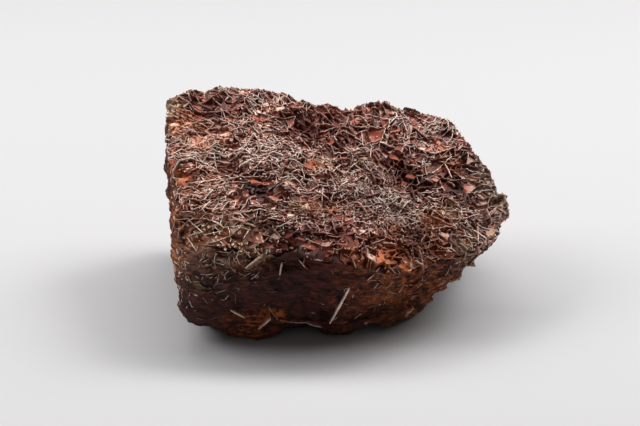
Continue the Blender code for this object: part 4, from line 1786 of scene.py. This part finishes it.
@dataclass
class Studio:
    """The floor, the light and the camera."""

    focal_mm: float = 97.3
    sensor_mm: float = 36.0
    distance: float = 0.80
    elevation: float = 27.0
    target: Triple = (-0.007, -0.0062, 0.0456)
    clip: tuple[float, float] = (0.01, 20.0)
    floor_half: float = 3.0
    lit: Triple = (0.0, 0.0, 0.04)
    lamps: tuple[Lamp, ...] = (
        Lamp("strip_above", (0.05, 0.40, 1.05), (1.6, 0.25), 14.2),
        Lamp("soft_box_left", (-0.95, 0.12, 0.86), (0.7, 0.7), 11.3),
        Lamp("soft_box_right", (0.80, 0.28, 0.99), (0.7, 0.7), 12.2),
    )
    air: str = "#e8e6e4"
    air_strength: float = 0.13

    def build_camera(self) -> None:
        """Places the camera, looking along +Y and down at the stone."""
        rise = math.radians(self.elevation)
        data = bpy.data.cameras.new("camera")
        data.lens, data.sensor_width = self.focal_mm, self.sensor_mm
        data.clip_start, data.clip_end = self.clip
        camera = bpy.data.objects.new("camera", data)
        back = Vector((0.0, -math.cos(rise), math.sin(rise))) * self.distance
        camera.location = Vector(self.target) + back
        camera.rotation_euler = (math.pi / 2 - rise, 0.0, 0.0)
        bpy.context.scene.collection.objects.link(camera)
        bpy.context.scene.camera = camera

    def build_floor(self) -> None:
        """Lays the floor, level and wide enough to fill the view."""
        corners = [(x * self.floor_half, y * self.floor_half, 0.0) for x, y in ((-1, -1), (1, -1), (1, 1), (-1, 1))]
        floor = mesh_object("floor", np.array(corners), [(0, 1, 2, 3)], {})
        floor.data.materials.append(MattPaper().build())

    def build_lamp(self, lamp: Lamp) -> None:
        """Hangs a soft box.

        Args:
            lamp: the soft box.
        """
        data = bpy.data.lights.new(lamp.name, "AREA")
        data.shape, data.energy = "RECTANGLE", lamp.watts
        data.size, data.size_y = lamp.size
        box = bpy.data.objects.new(lamp.name, data)
        box.location = lamp.place
        box.rotation_euler = (Vector(self.lit) - Vector(lamp.place)).to_track_quat("-Z", "Y").to_euler()
        bpy.context.scene.collection.objects.link(box)

    def build(self) -> None:
        """Builds the floor, the light and the camera."""
        self.build_floor()
        for lamp in self.lamps:
            self.build_lamp(lamp)
        world = bpy.data.worlds.new("studio")
        bpy.context.scene.world = world
        world.use_nodes = True
        background = world.node_tree.nodes["Background"]
        background.inputs["Color"].default_value = linear(self.air)
        background.inputs["Strength"].default_value = self.air_strength
        bpy.context.scene.view_settings.view_transform = "Standard"  # shows each colour as it is named
        self.build_camera()


def main() -> None:
    """Builds the stone piece by piece, then the studio."""
    logging.basicConfig(level=logging.INFO, format="%(message)s")
    form = StoneForm()
    pattern = CellPattern(form)
    pattern.lay_out()
    LOG.info("%d cells, %d walls", len(pattern.cells), len(pattern.walls))
    pieces = [
        Ground(form, "broken_rock", steps=158, crust_range=(-1.0, 0.42)).build(),
        Ground(form, "rock_under_crust", steps=70, crust_range=(0.36, 2.0), extra_sink=0.0004).build(),
        LargeCrystals(form).build(),
        CellFloors(pattern).build(),
        *Walls(pattern).build(),
        Splinters(form).build(),
    ]
    for piece in pieces:
        piece.data.calc_loop_triangles()
        LOG.info("%s: %d triangles", piece.name, len(piece.data.loop_triangles))
    Studio().build()


if __name__ == "__main__":
    main()
